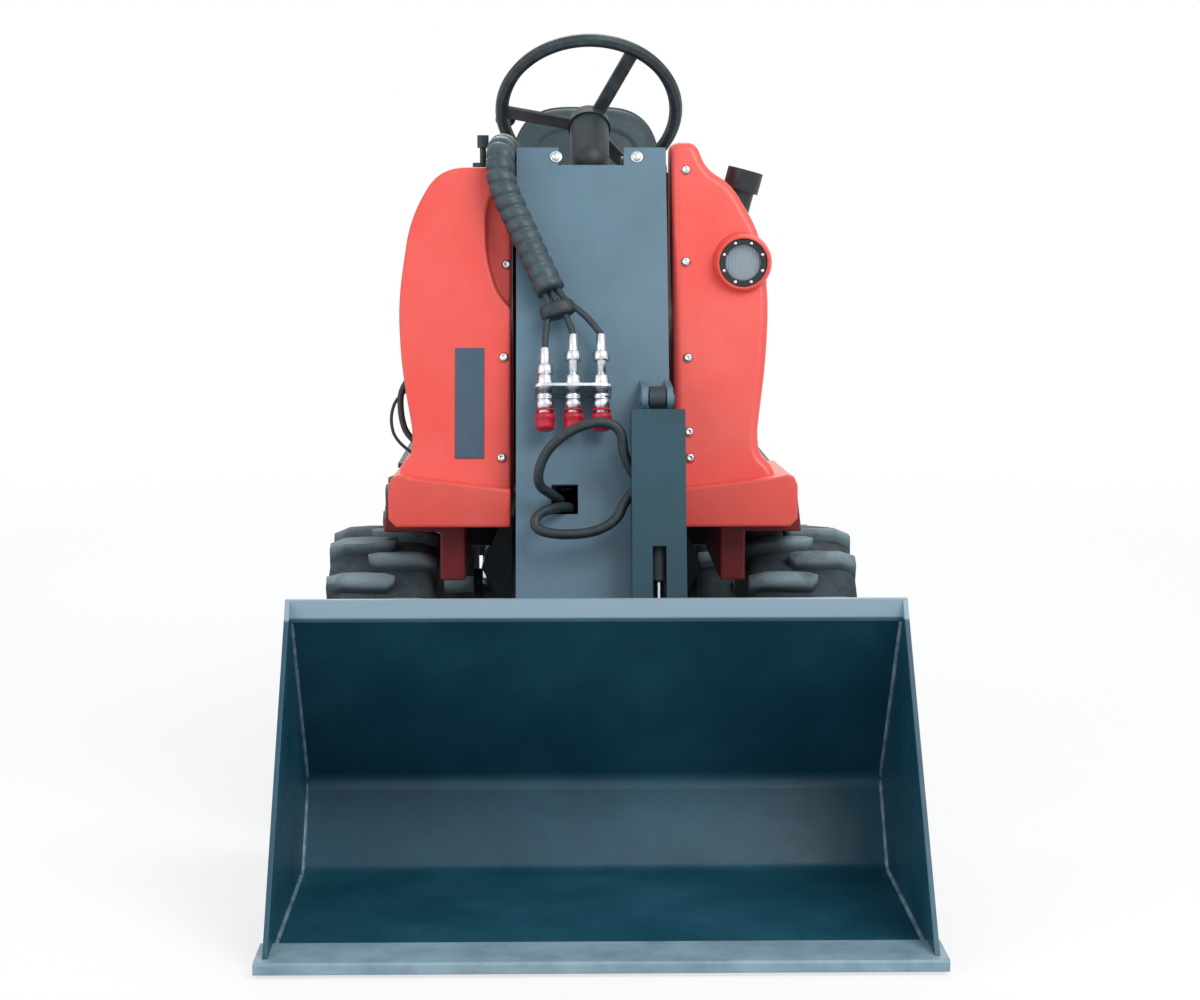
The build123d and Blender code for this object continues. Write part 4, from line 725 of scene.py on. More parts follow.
@dataclass
class Scatter:
    """Sets one small form at many places, each facing its own way.

    Attributes:
        name: Name of the finished piece.
        form: The form that is repeated, standing on the origin.
        finish: What it is made of.
        turn_deg: How far each one may be turned about its own axis, either way.
        spread: How much each one's size may differ, as a share.
        seed: Seed of the turns and sizes.
    """

    name: str
    form: bpy.types.Mesh
    finish: Finish
    turn_deg: float = 0.0
    spread: float = 0.0
    seed: int = 1

    TREE_NAME = "set_at_places"
    SOCKETS = (
        ("Places", "NodeSocketGeometry", "INPUT"),
        ("Form", "NodeSocketObject", "INPUT"),
        ("Turn", "NodeSocketFloat", "INPUT"),
        ("Least Size", "NodeSocketFloat", "INPUT"),
        ("Largest Size", "NodeSocketFloat", "INPUT"),
        ("Seed", "NodeSocketInt", "INPUT"),
        ("Finish", "NodeSocketMaterial", "INPUT"),
        ("Pieces", "NodeSocketGeometry", "OUTPUT"),
    )

    @classmethod
    def tree(cls) -> bpy.types.NodeTree:
        """Build the node tree once.

        Returns:
            The tree that sets a form at every point of a mesh.
        """
        known = bpy.data.node_groups.get(cls.TREE_NAME)
        if known is not None:
            return known
        tree = bpy.data.node_groups.new(cls.TREE_NAME, "GeometryNodeTree")
        for name, kind, way in cls.SOCKETS:
            tree.interface.new_socket(name, in_out=way, socket_type=kind)
        start = add_node(tree, "NodeGroupInput").outputs
        form = add_node(tree, "GeometryNodeObjectInfo", {"Object": start["Form"], "As Instance": True})
        facing, heading = (add_node(tree, "GeometryNodeInputNamedAttribute", {"Name": label},
                                    data_type="FLOAT_VECTOR").outputs[0] for label in ("facing", "heading"))
        stand = add_node(tree, "FunctionNodeAlignRotationToVector", {"Vector": facing}, axis="Z")
        aim = add_node(tree, "FunctionNodeAlignRotationToVector",
                       {"Rotation": stand.outputs[0], "Vector": heading}, axis="X", pivot_axis="Z")
        back = add_node(tree, "ShaderNodeMath", {0: start["Turn"], 1: -1.0}, operation="MULTIPLY")
        angle = add_node(tree, "FunctionNodeRandomValue", {2: back.outputs[0], 3: start["Turn"],
                                                           "Seed": start["Seed"]}, data_type="FLOAT")
        about = add_node(tree, "ShaderNodeCombineXYZ", {"Z": angle.outputs[1]})
        twist = add_node(tree, "FunctionNodeEulerToRotation", {0: about.outputs[0]})
        way = add_node(tree, "FunctionNodeRotateRotation", {0: aim.outputs[0], 1: twist.outputs[0]},
                       rotation_space="LOCAL")
        size = add_node(tree, "FunctionNodeRandomValue", {2: start["Least Size"], 3: start["Largest Size"],
                                                          "Seed": start["Seed"]}, data_type="FLOAT")
        placed = add_node(tree, "GeometryNodeInstanceOnPoints", {
            "Points": start["Places"], "Instance": form.outputs["Geometry"], "Rotation": way.outputs[0],
            "Scale": size.outputs[1]})
        real = add_node(tree, "GeometryNodeRealizeInstances", {0: placed.outputs[0]})
        dressed = add_node(tree, "GeometryNodeSetMaterial", {"Geometry": real.outputs[0],
                                                             "Material": start["Finish"]})
        add_node(tree, "NodeGroupOutput", {"Pieces": dressed.outputs[0]})
        return tree

    def build(self, spots: Sequence[Spot], heading: Vector | None = None) -> bpy.types.Object:
        """Set the form at each spot and make one plain mesh of them all.

        Args:
            spots: Place in metres and facing direction of each one.
            heading: Where the form's X axis points, or any way at right angles to the facing one.

        Returns:
            The finished piece.
        """
        places = bpy.data.meshes.new(f"{self.name}_places")
        places.from_pydata([tuple(place) for place, _ in spots], [], [])
        for label, ways in (("facing", [way for _, way in spots]),
                            ("heading", [heading or way.orthogonal() for _, way in spots])):
            attribute = places.attributes.new(label, "FLOAT_VECTOR", "POINT")
            attribute.data.foreach_set("vector", [value for way in ways for value in way])
        form = make_piece(f"{self.name}_form", self.form, self.finish)
        holder = bpy.data.objects.new(f"{self.name}_places", places)
        bpy.context.collection.objects.link(holder)
        modifier = holder.modifiers.new("places", "NODES")
        modifier.node_group = self.tree()
        values = {"Form": form, "Turn": math.radians(self.turn_deg), "Least Size": 1 - self.spread,
                  "Largest Size": 1 + self.spread, "Seed": self.seed, "Finish": self.finish.build()}
        for socket in modifier.node_group.interface.items_tree:
            if socket.name in values:
                modifier[socket.identifier] = values[socket.name]
        graph = bpy.context.evaluated_depsgraph_get()
        mesh = bpy.data.meshes.new_from_object(holder.evaluated_get(graph))
        bpy.data.objects.remove(holder)
        bpy.data.objects.remove(form)
        bpy.data.meshes.remove(places)
        return make_piece(self.name, mesh, self.finish)


@dataclass
class Fasteners:
    """Screws, bolts, studs and wheel nuts.

    Attributes:
        cowl_screws: Places of the cowls' screws in millimetres, the last one in the scoop.
        screw_profile: Radius and height of a screw's head and washer in millimetres.
        boom_bolts: Places of the boom's top bolts, along, behind and across the boom.
        lamp_centre: Middle of the headlamp ring's front, in millimetres.
        lamp_stud_r: Radius of the circle of lamp studs in millimetres.
        lamp_studs: Number of lamp studs.
        nut_circle_r: Radius of the circle of wheel nuts in millimetres.
        nut_out: How far outside the wheel's middle plane the nuts sit, in millimetres.
        nuts: Number of nuts on a wheel.
    """

    cowl_screws: tuple[Triple, ...] = (
        (176.7, -223.6, 1232.9), (175.0, -268.1, 1062.9), (177.0, -314.0, 887.3), (177.5, -349.0, 753.2),
        (178.9, -361.2, 706.4), (-163.2, -313.6, 888.6), (-166.8, -361.1, 707.0), (-158.7, -244.7, 1057.4),
    )
    screw_profile: tuple[Pair, ...] = (
        (0, -1), (9.5, -1), (9.5, 0.8), (8.2, 1.4), (8.2, 2.2), (7.4, 4.4), (5.4, 6.0), (3.6, 6.4),
        (3.2, 4.6), (0, 4.6),
    )
    boom_bolts: tuple[Triple, ...] = ((-14.7, -50, -65.9), (-14.7, -50, 85.9))
    lamp_centre: Triple = (280, -292, 1062)
    lamp_stud_r: float = 38.5
    lamp_studs: int = 8
    nut_circle_r: float = 44.0
    nut_out: float = 18.0
    nuts: int = 6

    def build(self) -> None:
        """Make each set of fasteners and let it ride on its body."""
        screw = turned_mesh("cowl_screw", (self.screw_profile, 20))
        spots = [(Vector(place) * MM, COWL_OUT) for place in self.cowl_screws]
        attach(Scatter("cowl_screws", screw, ZINC_STEEL, turn_deg=40, seed=3).build(spots), "front_body")
        bolt = self.hex_head("boom_bolt", 9.0, 6.0)
        spots = [(boom_point(*place), -BOOM_REAR) for place in self.boom_bolts]
        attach(Scatter("boom_bolts", bolt, ZINC_STEEL, turn_deg=30, seed=5).build(spots), "boom_body")
        stud = turned_mesh("lamp_stud", (((0, -0.5), (3.4, -0.5), (3.4, 0.8), (2.6, 2.0), (0, 2.4)), 10))
        spots = [(Vector(spot) * MM, Vector((0.0, -1.0, 0.0))) for spot in self.lamp_ring()]
        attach(Scatter("lamp_studs", stud, ZINC_STEEL, seed=7).build(spots), "front_body")
        for body, _, (x, y, z) in WHEELS:
            nut = self.hex_head("wheel_nut", 10.0, 11.0)
            outward = math.copysign(1.0, x)
            spots = []
            for i in range(self.nuts):
                angle = math.tau * i / self.nuts
                spots.append((Vector((x + outward * self.nut_out, y + self.nut_circle_r * math.cos(angle),
                                      z + self.nut_circle_r * math.sin(angle))) * MM, SIDE * outward))
            name = body.replace("wheel", "nuts")
            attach(Scatter(name, nut, ZINC_STEEL, turn_deg=30, seed=11).build(spots), body)
        log.info("set screws, bolts, studs and nuts")

    def lamp_ring(self) -> list[Triple]:
        """Places of the studs round the headlamp, in millimetres."""
        x, y, z = self.lamp_centre
        angles = [math.tau * (i + 0.5) / self.lamp_studs for i in range(self.lamp_studs)]
        return [(x + self.lamp_stud_r * math.cos(a), y, z + self.lamp_stud_r * math.sin(a)) for a in angles]

    @staticmethod
    def hex_head(name: str, radius: float, height: float) -> bpy.types.Mesh:
        """Make a hexagon head on its washer.

        Args:
            name: Name of the mesh.
            radius: Half the width over the corners in millimetres.
            height: Height of the head in millimetres.

        Returns:
            The mesh, standing on the origin.
        """
        washer = ((0, -0.5), (radius * 1.3, -0.5), (radius * 1.3, 1.6), (radius, 2.0), (0, 2.0))
        head = ((0, 1.8), (radius, 1.8), (radius, height - 1.2), (radius * 0.84, height), (0, height))
        return turned_mesh(name, (washer, 20), (head, 6))


@dataclass
class BucketWelds:
    """Weld beads in the bucket's inner corners.

    Attributes:
        profile: Inner profile of the bucket as Y and Z in millimetres, from the edge to the lip.
        inside: A point in the bucket as Y and Z in millimetres.
        side_x: Where the beads run on each side plate, in millimetres.
        step: Distance between two ripples of a bead in millimetres.
    """

    profile: tuple[Pair, ...] = ((-1136, 14), (-675, 14), (-565, 152), (-806, 476))
    inside: Pair = (-870.0, 240.0)
    side_x: float = 510.0
    step: float = 3.6

    def build(self) -> None:
        """Lay the beads and let them ride on the bucket."""
        ripple = turned_mesh("weld_ripple", (((0, -1.5), (4.6, -1.5), (4.3, 0.4), (2.8, 1.7), (0, 2.2)), 8))
        spots: list[Spot] = []
        for (y0, z0), (y1, z1) in zip(self.profile, self.profile[1:]):
            along = Vector((0.0, y1 - y0, z1 - z0))
            inward = along.normalized().cross(SIDE)
            middle = Vector((0.0, self.inside[0] - y0, self.inside[1] - z0))
            inward = inward if inward.dot(middle) > 0 else -inward
            count = int(along.length / self.step)
            for side in (-1.0, 1.0):
                way = (inward - SIDE * side).normalized()
                for i in range(count):
                    place = Vector((side * self.side_x, y0, z0)) + along * (i / count) + inward * 1.0
                    spots.append((place * MM, way))
        count = int(2 * self.side_x / self.step)
        start = Vector((-self.side_x, self.profile[0][0] - 2.0, self.profile[0][1] + 1.0))
        behind_edge = Vector((0.0, 0.7, 0.7))
        spots += [((start + SIDE * (self.step * i)) * MM, behind_edge) for i in range(count)]
        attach(Scatter("bucket_welds", ripple, WELD_ENAMEL, turn_deg=180, spread=0.12, seed=13).build(spots),
                "bucket_body")
        log.info("laid bucket welds of %d ripples", len(spots))


@dataclass
class SeatPad:
    """One stuffed pad with a rounded outline, a crowned face, a sewn panel line and piping.

    Attributes:
        name: Name of the pad.
        node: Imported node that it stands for.
        body: Body that it rides on.
        centre: Middle of the pad in millimetres.
        size: Width, height of the outline and thickness in millimetres.
        lean_deg: How far the pad's face leans from facing up.
        corner: Power of the outline, more for squarer corners.
        panel: Where the sewn line runs, as a share of the way from the middle to the rim.
        flat_back: Whether the underside is flat, because it rests on something.
        rings: Rows of points between the middle and the rim.
        sides: Points round the outline.
        piping_r: Radius of the piping in millimetres.
        piping_sides: Points round the piping.
        seam_depth: Depth of the sewn line in millimetres.
        seam_w: Width of the sewn line as a share of the way to the rim.
        waist: How much the outline is pulled in between its corners, as a share.
        dome: How much of the thickness is a dome over the whole face, as a share.
    """

    name: str
    node: str
    body: str
    centre: Triple
    size: Triple
    lean_deg: float
    corner: float
    panel: float = 0.74
    flat_back: bool = False
    rings: int = 44
    sides: int = 144
    piping_r: float = 4.0
    piping_sides: int = 10
    seam_depth: float = 6.0
    seam_w: float = 0.022
    waist: float = 0.012
    dome: float = 0.2

    def outline(self, angle: float) -> float:
        """Share of the half size that the outline reaches at an angle, pulled in a little between corners."""
        sum_of = abs(math.cos(angle)) ** self.corner + abs(math.sin(angle)) ** self.corner
        return sum_of ** (-1 / self.corner) * (1 - self.waist * math.cos(2 * angle) ** 2)

    def place(self) -> Matrix:
        """Where the pad's own frame stands, in metres."""
        lean = Matrix.Rotation(math.radians(self.lean_deg), 4, "X")
        return Matrix.Translation(Vector(self.centre) * MM) @ lean @ Matrix.Scale(MM, 4)

    def height(self, share: float, face: float) -> float:
        """Height of the pad's surface over its middle plane.

        Args:
            share: Place between the middle, 0, and the rim, 1.
            face: 1 for the face that is sat on, -1 for the back.

        Returns:
            The height in millimetres.
        """
        half = self.size[2] / 2
        if face < 0 and self.flat_back:
            return -half * min(1.0, (1 - share ** 14) ** 0.5)
        crown = (1 - self.dome) * (1 - share ** 7) ** 0.5 + self.dome * (1 - share ** 2)
        seam = self.seam_depth * math.exp(-((share - self.panel) / self.seam_w) ** 2) if face > 0 else 0.0
        return face * half * crown - seam

    def build(self) -> None:
        """Make the pad and its piping."""
        wide = self.size[0] / 2 - self.piping_r
        tall = self.size[1] / 2 - self.piping_r
        angles = [math.tau * i / self.sides for i in range(self.sides)]
        rim = [(wide * self.outline(a) * math.cos(a), tall * self.outline(a) * math.sin(a)) for a in angles]
        form = bmesh.new()
        edge = [form.verts.new((x, y, 0.0)) for x, y in rim]
        for face in (1.0, -1.0):
            rows = [[form.verts.new((0.0, 0.0, self.height(0.0, face)))]]
            for ring in range(1, self.rings):
                share = math.sin(math.pi / 2 * ring / self.rings)
                level = self.height(share, face)
                rows.append([form.verts.new((x * share, y * share, level)) for x, y in rim])
            skin(form, rows + [edge])
        mesh = mesh_of(self.name, form)
        mesh.transform(self.place())
        pad = make_piece(self.name, mesh, SEAT_VINYL)
        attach(pad, self.body)
        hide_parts(self.node)
        self.make_piping(rim)
        log.info("stuffed %s", self.name)

    def make_piping(self, rim: Sequence[Pair]) -> None:
        """Sew a round piping along the rim.

        Args:
            rim: The outline's points in millimetres.
        """
        form = bmesh.new()
        rows: list[list[bmesh.types.BMVert]] = []
        angles = [math.tau * k / self.piping_sides for k in range(self.piping_sides)]
        for i, (x, y) in enumerate(rim):
            ahead = Vector(rim[(i + 1) % len(rim)]) - Vector(rim[i - 1])
            out = Vector((ahead.y, -ahead.x, 0.0)).normalized() * self.piping_r
            up = Vector((0.0, 0.0, self.piping_r))
            middle = Vector((x, y, 0.0))
            rows.append([form.verts.new(middle + out * math.cos(a) + up * math.sin(a)) for a in angles])
        skin(form, rows + rows[:1])
        mesh = mesh_of(f"{self.name}_piping", form)
        mesh.transform(self.place())
        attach(make_piece(f"{self.name}_piping", mesh, SEAT_PIPING), self.body)


@dataclass
class Seat:
    """The operator's seat: a cushion on its pedestal and a back that leans."""

    pads: tuple[SeatPad, ...] = (
        SeatPad("cushion_pad", "seat_cushion", "front_body", (0, 310, 885), (430, 380, 90), 0.0, 5.0,
                flat_back=True),
        SeatPad("back_pad", "seat_back", "front_body", (0, 540.0, 1164.0), (330, 437, 80), 82.0, 3.4),
    )

    def build(self) -> None:
        """Make both pads."""
        for pad in self.pads:
            pad.build()


@dataclass
class Tyre:
    """One lugged tyre: a turned carcass and pairs of slanting lugs round it.

    Attributes:
        body: Wheel that it rides on.
        node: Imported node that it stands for.
        centre: Middle of the wheel in millimetres.
        section: Half of the carcass's section, as place across and radius in millimetres.
        lug: Outline of one lug's top, as place across the tyre and round it in millimetres.
        pairs: Number of lug pairs.
        root_r: Radius where a lug begins in millimetres.
        top_r: Radius of the lugs' tops in millimetres.
        shoulder: Where across the tyre the lugs begin to fall away, in millimetres.
        fall: How much they fall for each millimetre past the shoulder.
        lug_edge: Height of the sloping edge round a lug's top in millimetres.
        swells: Size of a lug's section at its root, below its edge and on its top.
        sides: Points round the carcass.
    """

    body: str
    node: str
    centre: Triple
    section: tuple[Pair, ...] = (
        (68, 153), (75, 164), (88, 184), (99, 206), (102, 224), (99, 238), (90, 250), (72, 257), (40, 260),
        (0, 261),
    )
    lug: tuple[Pair, ...] = (
        (-24, -8), (-26, 6), (-8, 13), (34, 16), (72, 17), (101, 18), (101, -12), (72, -15), (30, -19),
        (-12, -20),
    )
    pairs: int = 15
    root_r: float = 226.0
    top_r: float = 278.6
    shoulder: float = 66.0
    fall: float = 0.42
    lug_edge: float = 9.0
    swells: Triple = (1.25, 1.06, 0.9)
    sides: int = 90

    def build(self) -> None:
        """Make the carcass and the lugs and let them ride on the wheel."""
        half = list(self.section)
        profile = [(r, x) for x, r in half] + [(r, -x) for x, r in reversed(half[:-1])]
        loop = [profile[-1]] + profile
        mesh = turned_mesh(f"{self.node}_carcass", (loop[::-1], self.sides))
        mesh.transform(Matrix.Translation(Vector(self.centre) * MM) @ Matrix.Rotation(math.pi / 2, 4, "Y"))
        # Painted shade: the carcass between the lugs takes a darker copy of the lugs' rubber
        carcass = make_piece(f"{self.node}_carcass", mesh, SHADED_CARCASS_RUBBER)
        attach(carcass, self.body)
        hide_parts(self.node)
        spots = []
        for i in range(self.pairs):
            angle = math.tau * i / self.pairs
            spots.append((Vector(self.centre) * MM, Vector((0.0, math.cos(angle), math.sin(angle)))))
        lugs = Scatter(f"{self.node}_lugs", self.lug_pair(), TYRE_RUBBER).build(spots, heading=SIDE)
        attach(lugs, self.body)
        log.info("shod %s", self.body)

    def lug_pair(self) -> bpy.types.Mesh:
        """Make one lug and its mirrored neighbour, half a step further round.

        Returns:
            The mesh with its radial way up, X across the tyre.
        """
        stacks = []
        levels = zip((self.root_r, self.top_r - self.lug_edge, self.top_r), self.swells)
        sections = [(level, swell, level > self.root_r) for level, swell in levels]
        for side, turned in ((1.0, 0.0), (-1.0, math.pi / self.pairs)):
            rings = []
            for level, swell, falls in sections:
                ring = []
                for across, around in self.lug:
                    top = level - max(0.0, across - self.shoulder) * self.fall * falls
                    y = around * swell * math.cos(turned) - top * math.sin(turned)
                    z = around * swell * math.sin(turned) + top * math.cos(turned)
                    ring.append(Vector((side * across, y, z)) * MM)
                rings.append(ring)
            stacks.append(rings)
        return solid_mesh("lug_pair", *stacks)


def rounded(corners: Sequence[Pair], share: float = 0.45, steps: int = 8) -> list[Pair]:
    """Round the inner corners of an open outline.

    Args:
        corners: The outline's corners.
        share: How much of the shorter side each round takes.
        steps: Sides of each round.

    Returns:
        The outline's points, its first and last corners kept.
    """
    points = [corners[0]]
    for before, corner, after in zip(corners, corners[1:], corners[2:]):
        here = Vector(corner)
        reach = share * min((Vector(before) - here).length, (Vector(after) - here).length)
        start = here + (Vector(before) - here).normalized() * reach
        end = here + (Vector(after) - here).normalized() * reach
        for i in range(steps + 1):
            t = i / steps
            points.append(tuple(start * (1 - t) ** 2 + here * 2 * t * (1 - t) + end * t ** 2))
    return points + [corners[-1]]


def prism(name: str, outline: Sequence[Pair], front: Pair, rear: Pair, base_z: float,
          rear_top: float = math.inf) -> bpy.types.Mesh:
    """Make a solid from a front outline between two planes that may lean.

    Args:
        name: Name of the mesh.
        outline: X and Z pairs in millimetres.
        front: Y of the front plane at the base height, and how far it moves for each millimetre up.
        rear: The same for the rear plane.
        base_z: The base height in millimetres.
        rear_top: Height that nothing at the rear rises over, in millimetres.

    Returns:
        The closed mesh.
    """
    rows = []
    for (place, slope), top in ((front, math.inf), (rear, rear_top)):
        rows.append([Vector((x, place + slope * (z - base_z), min(z, top))) * MM for x, z in outline])
    return solid_mesh(name, rows)


@dataclass
class Cowls:
    """The two moulded cowls beside the boom, with their steps, the scoop, the panel and the lamp pod.

    Attributes:
        right: Outline of the right cowl's outer edge, as X away from the middle and Z in millimetres.
        left: Outline of the left cowl's outer edge.
        inner_x: Where the cowls' inner walls stand.
        base_z: Height of the steps' tops, where the slopes begin.
        front: Y of the front slope at the base height and its lean.
        rear: Y of the rear slope at the base height and its lean.
        step: Section of the right step as X away from the middle and Z.
        step_y: Front and rear of the steps.
        step_rear_z: Height that the steps' tops fall to at the rear.
        liner: Section of the right wheel arch's liner under its step, as X away from the middle and Z.
        liner_y: Front and rear of the liners.
        shield: Outline of the right splash shield behind the front wheel, as X away from the middle and Z.
        shield_y: Front and rear of the shields.
        seal: Outline of the right dark rubber strip behind the boom's edge, a painted shade for the shaded
            gap beside the boom, as X away from the middle and Z.
        gap_shade_strip_y: Front and rear of the strips at the base height; they lean with the cowls' rear.
        scoop: Outline of the scoop for the hoses, as X and Z.
        scoop_y: Where the scoop's cutter begins before the front slope, and how deep it goes behind it.
        panel: Middle X, middle Z, width and height of the dark panel.
        panel_y: Front and rear of the panel from the front slope.
        lamp: Rear of the headlamp's pod in the middle.
        pod: Radius and height of the pod's section.
        edge_mm: Width of the rounded edges.
    """

    right: tuple[Pair, ...] = (
        (150, 1238), (284, 1238), (338, 1142), (359, 990), (352, 870), (330, 752), (333, 712), (352, 692),
        (362, 640),
    )
    left: tuple[Pair, ...] = (
        (150, 1285), (196, 1285), (214, 1236), (262, 1206), (318, 1110), (329, 990), (322, 880),
        (304, 752), (307, 712), (330, 692), (346, 640),
    )
    inner_x: float = 150.0
    base_z: float = 692.0
    front: Pair = (-365.0, 155 / 593)
    rear: Pair = (50.0, -110 / 593)
    step: tuple[Pair, ...] = (
        (150, 588), (150, 656), (330, 678), (352, 684), (364, 680), (371, 664), (371, 602), (357, 588),
    )
    step_y: Pair = (-435.0, 50.0)
    step_rear_z: float = 660.0
    liner: tuple[Pair, ...] = ((234, 482), (234, 640), (376, 640), (384, 572), (280, 572), (280, 482))
    liner_y: Pair = (-376.0, 40.0)
    shield: tuple[Pair, ...] = ((155, 486), (155, 598), (286, 598), (286, 486))
    shield_y: Pair = (78.0, 86.0)
    # Dark rubber strips that stand in for the shade in the gaps beside the boom
    seal: tuple[Pair, ...] = ((135, 640), (135, 1230), (152, 1230), (152, 640))
    gap_shade_strip_y: Pair = (36.0, 48.0)
    scoop: tuple[Pair, ...] = (
        (-140, 966), (-176, 1006), (-196, 1074), (-197, 1150), (-186, 1190), (-140, 1204),
    )
    scoop_y: Pair = (-60.0, 26.0)
    panel: tuple[float, float, float, float] = (-226.0, 806.0, 54.0, 200.0)
    panel_y: Pair = (-1.5, 4.0)
    lamp: Triple = (280.0, -250.0, 1062.0)
    pod: tuple[Pair, ...] = (
        (44.6, 0), (56, 0), (54, 30), (51, 42), (49, 46), (46, 47), (44.6, 45), (44.6, 0),
    )
    edge_mm: float = 16.0

    def build(self) -> None:
        """Make both cowls and what is set in them."""
        for name, side, outline in (("cowl_right", -1, self.right), ("cowl_left", 1, self.left)):
            closed = rounded(outline) + [(self.inner_x, outline[-1][1])]
            closed = [(side * x, z) for x, z in closed]
            mesh = prism(f"{name}_shell", closed, self.front, self.rear, self.base_z)
            shell = make_piece(f"{name}_shell", mesh, RED_PLASTIC)
            if side < 0:
                self.cut_scoop(shell)
            self.soften(shell, self.edge_mm)
            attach(shell, "front_body")
            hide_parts(name)
            for label, section, reach, lean, top, finish, edge in (
                ("step", self.step, self.step_y, 0.0, self.step_rear_z, RED_PLASTIC, 9.0),
                # Painted shade: the liners take a darker copy of the cowl's red
                ("liner", self.liner, self.liner_y, 0.0, math.inf, SHADED_LINER_PLASTIC, 4.0),
                ("shield", self.shield, self.shield_y, 0.0, math.inf, CHASSIS_ENAMEL, 1.5),
                # Painted shade: dark rubber strips fill the shaded gaps beside the boom
                ("seal", self.seal, self.gap_shade_strip_y, self.rear[1], math.inf, HOSE_RUBBER, 1.5),
            ):
                mesh = prism(f"{name}_{label}", [(side * x, z) for x, z in section], (reach[0], lean),
                             (reach[1], lean), self.base_z, top)
                item = make_piece(f"{name}_{label}", mesh, finish)
                self.soften(item, edge)
                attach(item, "front_body")
            log.info("moulded %s", name)
        self.make_panel()
        self.make_pod()

    @staticmethod
    def soften(item: bpy.types.Object, width: float) -> None:
        """Round the sharp edges of a moulded piece.

        Args:
            item: The piece.
            width: Width of the rounding in millimetres.
        """
        bevel = item.modifiers.new("soft_edges", "BEVEL")
        bevel.width = width * MM
        bevel.segments = BEVEL_STEPS
        bevel.limit_method = "ANGLE"
        bevel.angle_limit = math.radians(BEVEL_DEG)
        bevel.harden_normals = True

    def on_slope(self, name: str, outline: Sequence[Pair], reach: Pair) -> bpy.types.Mesh:
        """Make a solid along the cowls' front slope.

        Args:
            name: Name of the mesh.
            outline: X and Z pairs in millimetres.
            reach: Its front and rear, in millimetres from the slope.

        Returns:
            The closed mesh.
        """
        start, lean = self.front
        return prism(name, outline, (start + reach[0], lean), (start + reach[1], lean), self.base_z)

    def cut_scoop(self, shell: bpy.types.Object) -> None:
        """Cut the scoop for the hoses into the right cowl.

        Args:
            shell: The right cowl's shell.
        """
        tool = make_piece("scoop_cutter", self.on_slope("scoop_cutter", rounded(self.scoop), self.scoop_y),
                          RED_PLASTIC)
        cut = shell.modifiers.new("scoop", "BOOLEAN")
        cut.object = tool
        cut.operation = "DIFFERENCE"
        cut.solver = "EXACT"
        graph = bpy.context.evaluated_depsgraph_get()
        done = bpy.data.meshes.new_from_object(shell.evaluated_get(graph))
        shell.modifiers.remove(cut)
        shell.data = done
        bpy.data.objects.remove(tool)

    def make_panel(self) -> None:
        """Set the dark panel on the right cowl's slope."""
        x, z, width, height = self.panel
        outline = [(x + across * width / 2, z + up * height / 2)
                   for across, up in ((-1, -1), (1, -1), (1, 1), (-1, 1))]
        panel = make_piece("cowl_panel", self.on_slope("cowl_panel", outline, self.panel_y), PANEL_SLATE)
        self.soften(panel, 1.0)
        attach(panel, "front_body")
        log.info("set cowl_panel")

    def make_pod(self) -> None:
        """Mould the pod round the headlamp."""
        mesh = turned_mesh("lamp_pod", (self.pod, 48))
        mesh.transform(Matrix.Translation(Vector(self.lamp) * MM) @ Matrix.Rotation(math.pi / 2, 4, "X"))
        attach(make_piece("lamp_pod", mesh, RED_PLASTIC), "front_body")
        log.info("moulded lamp_pod")


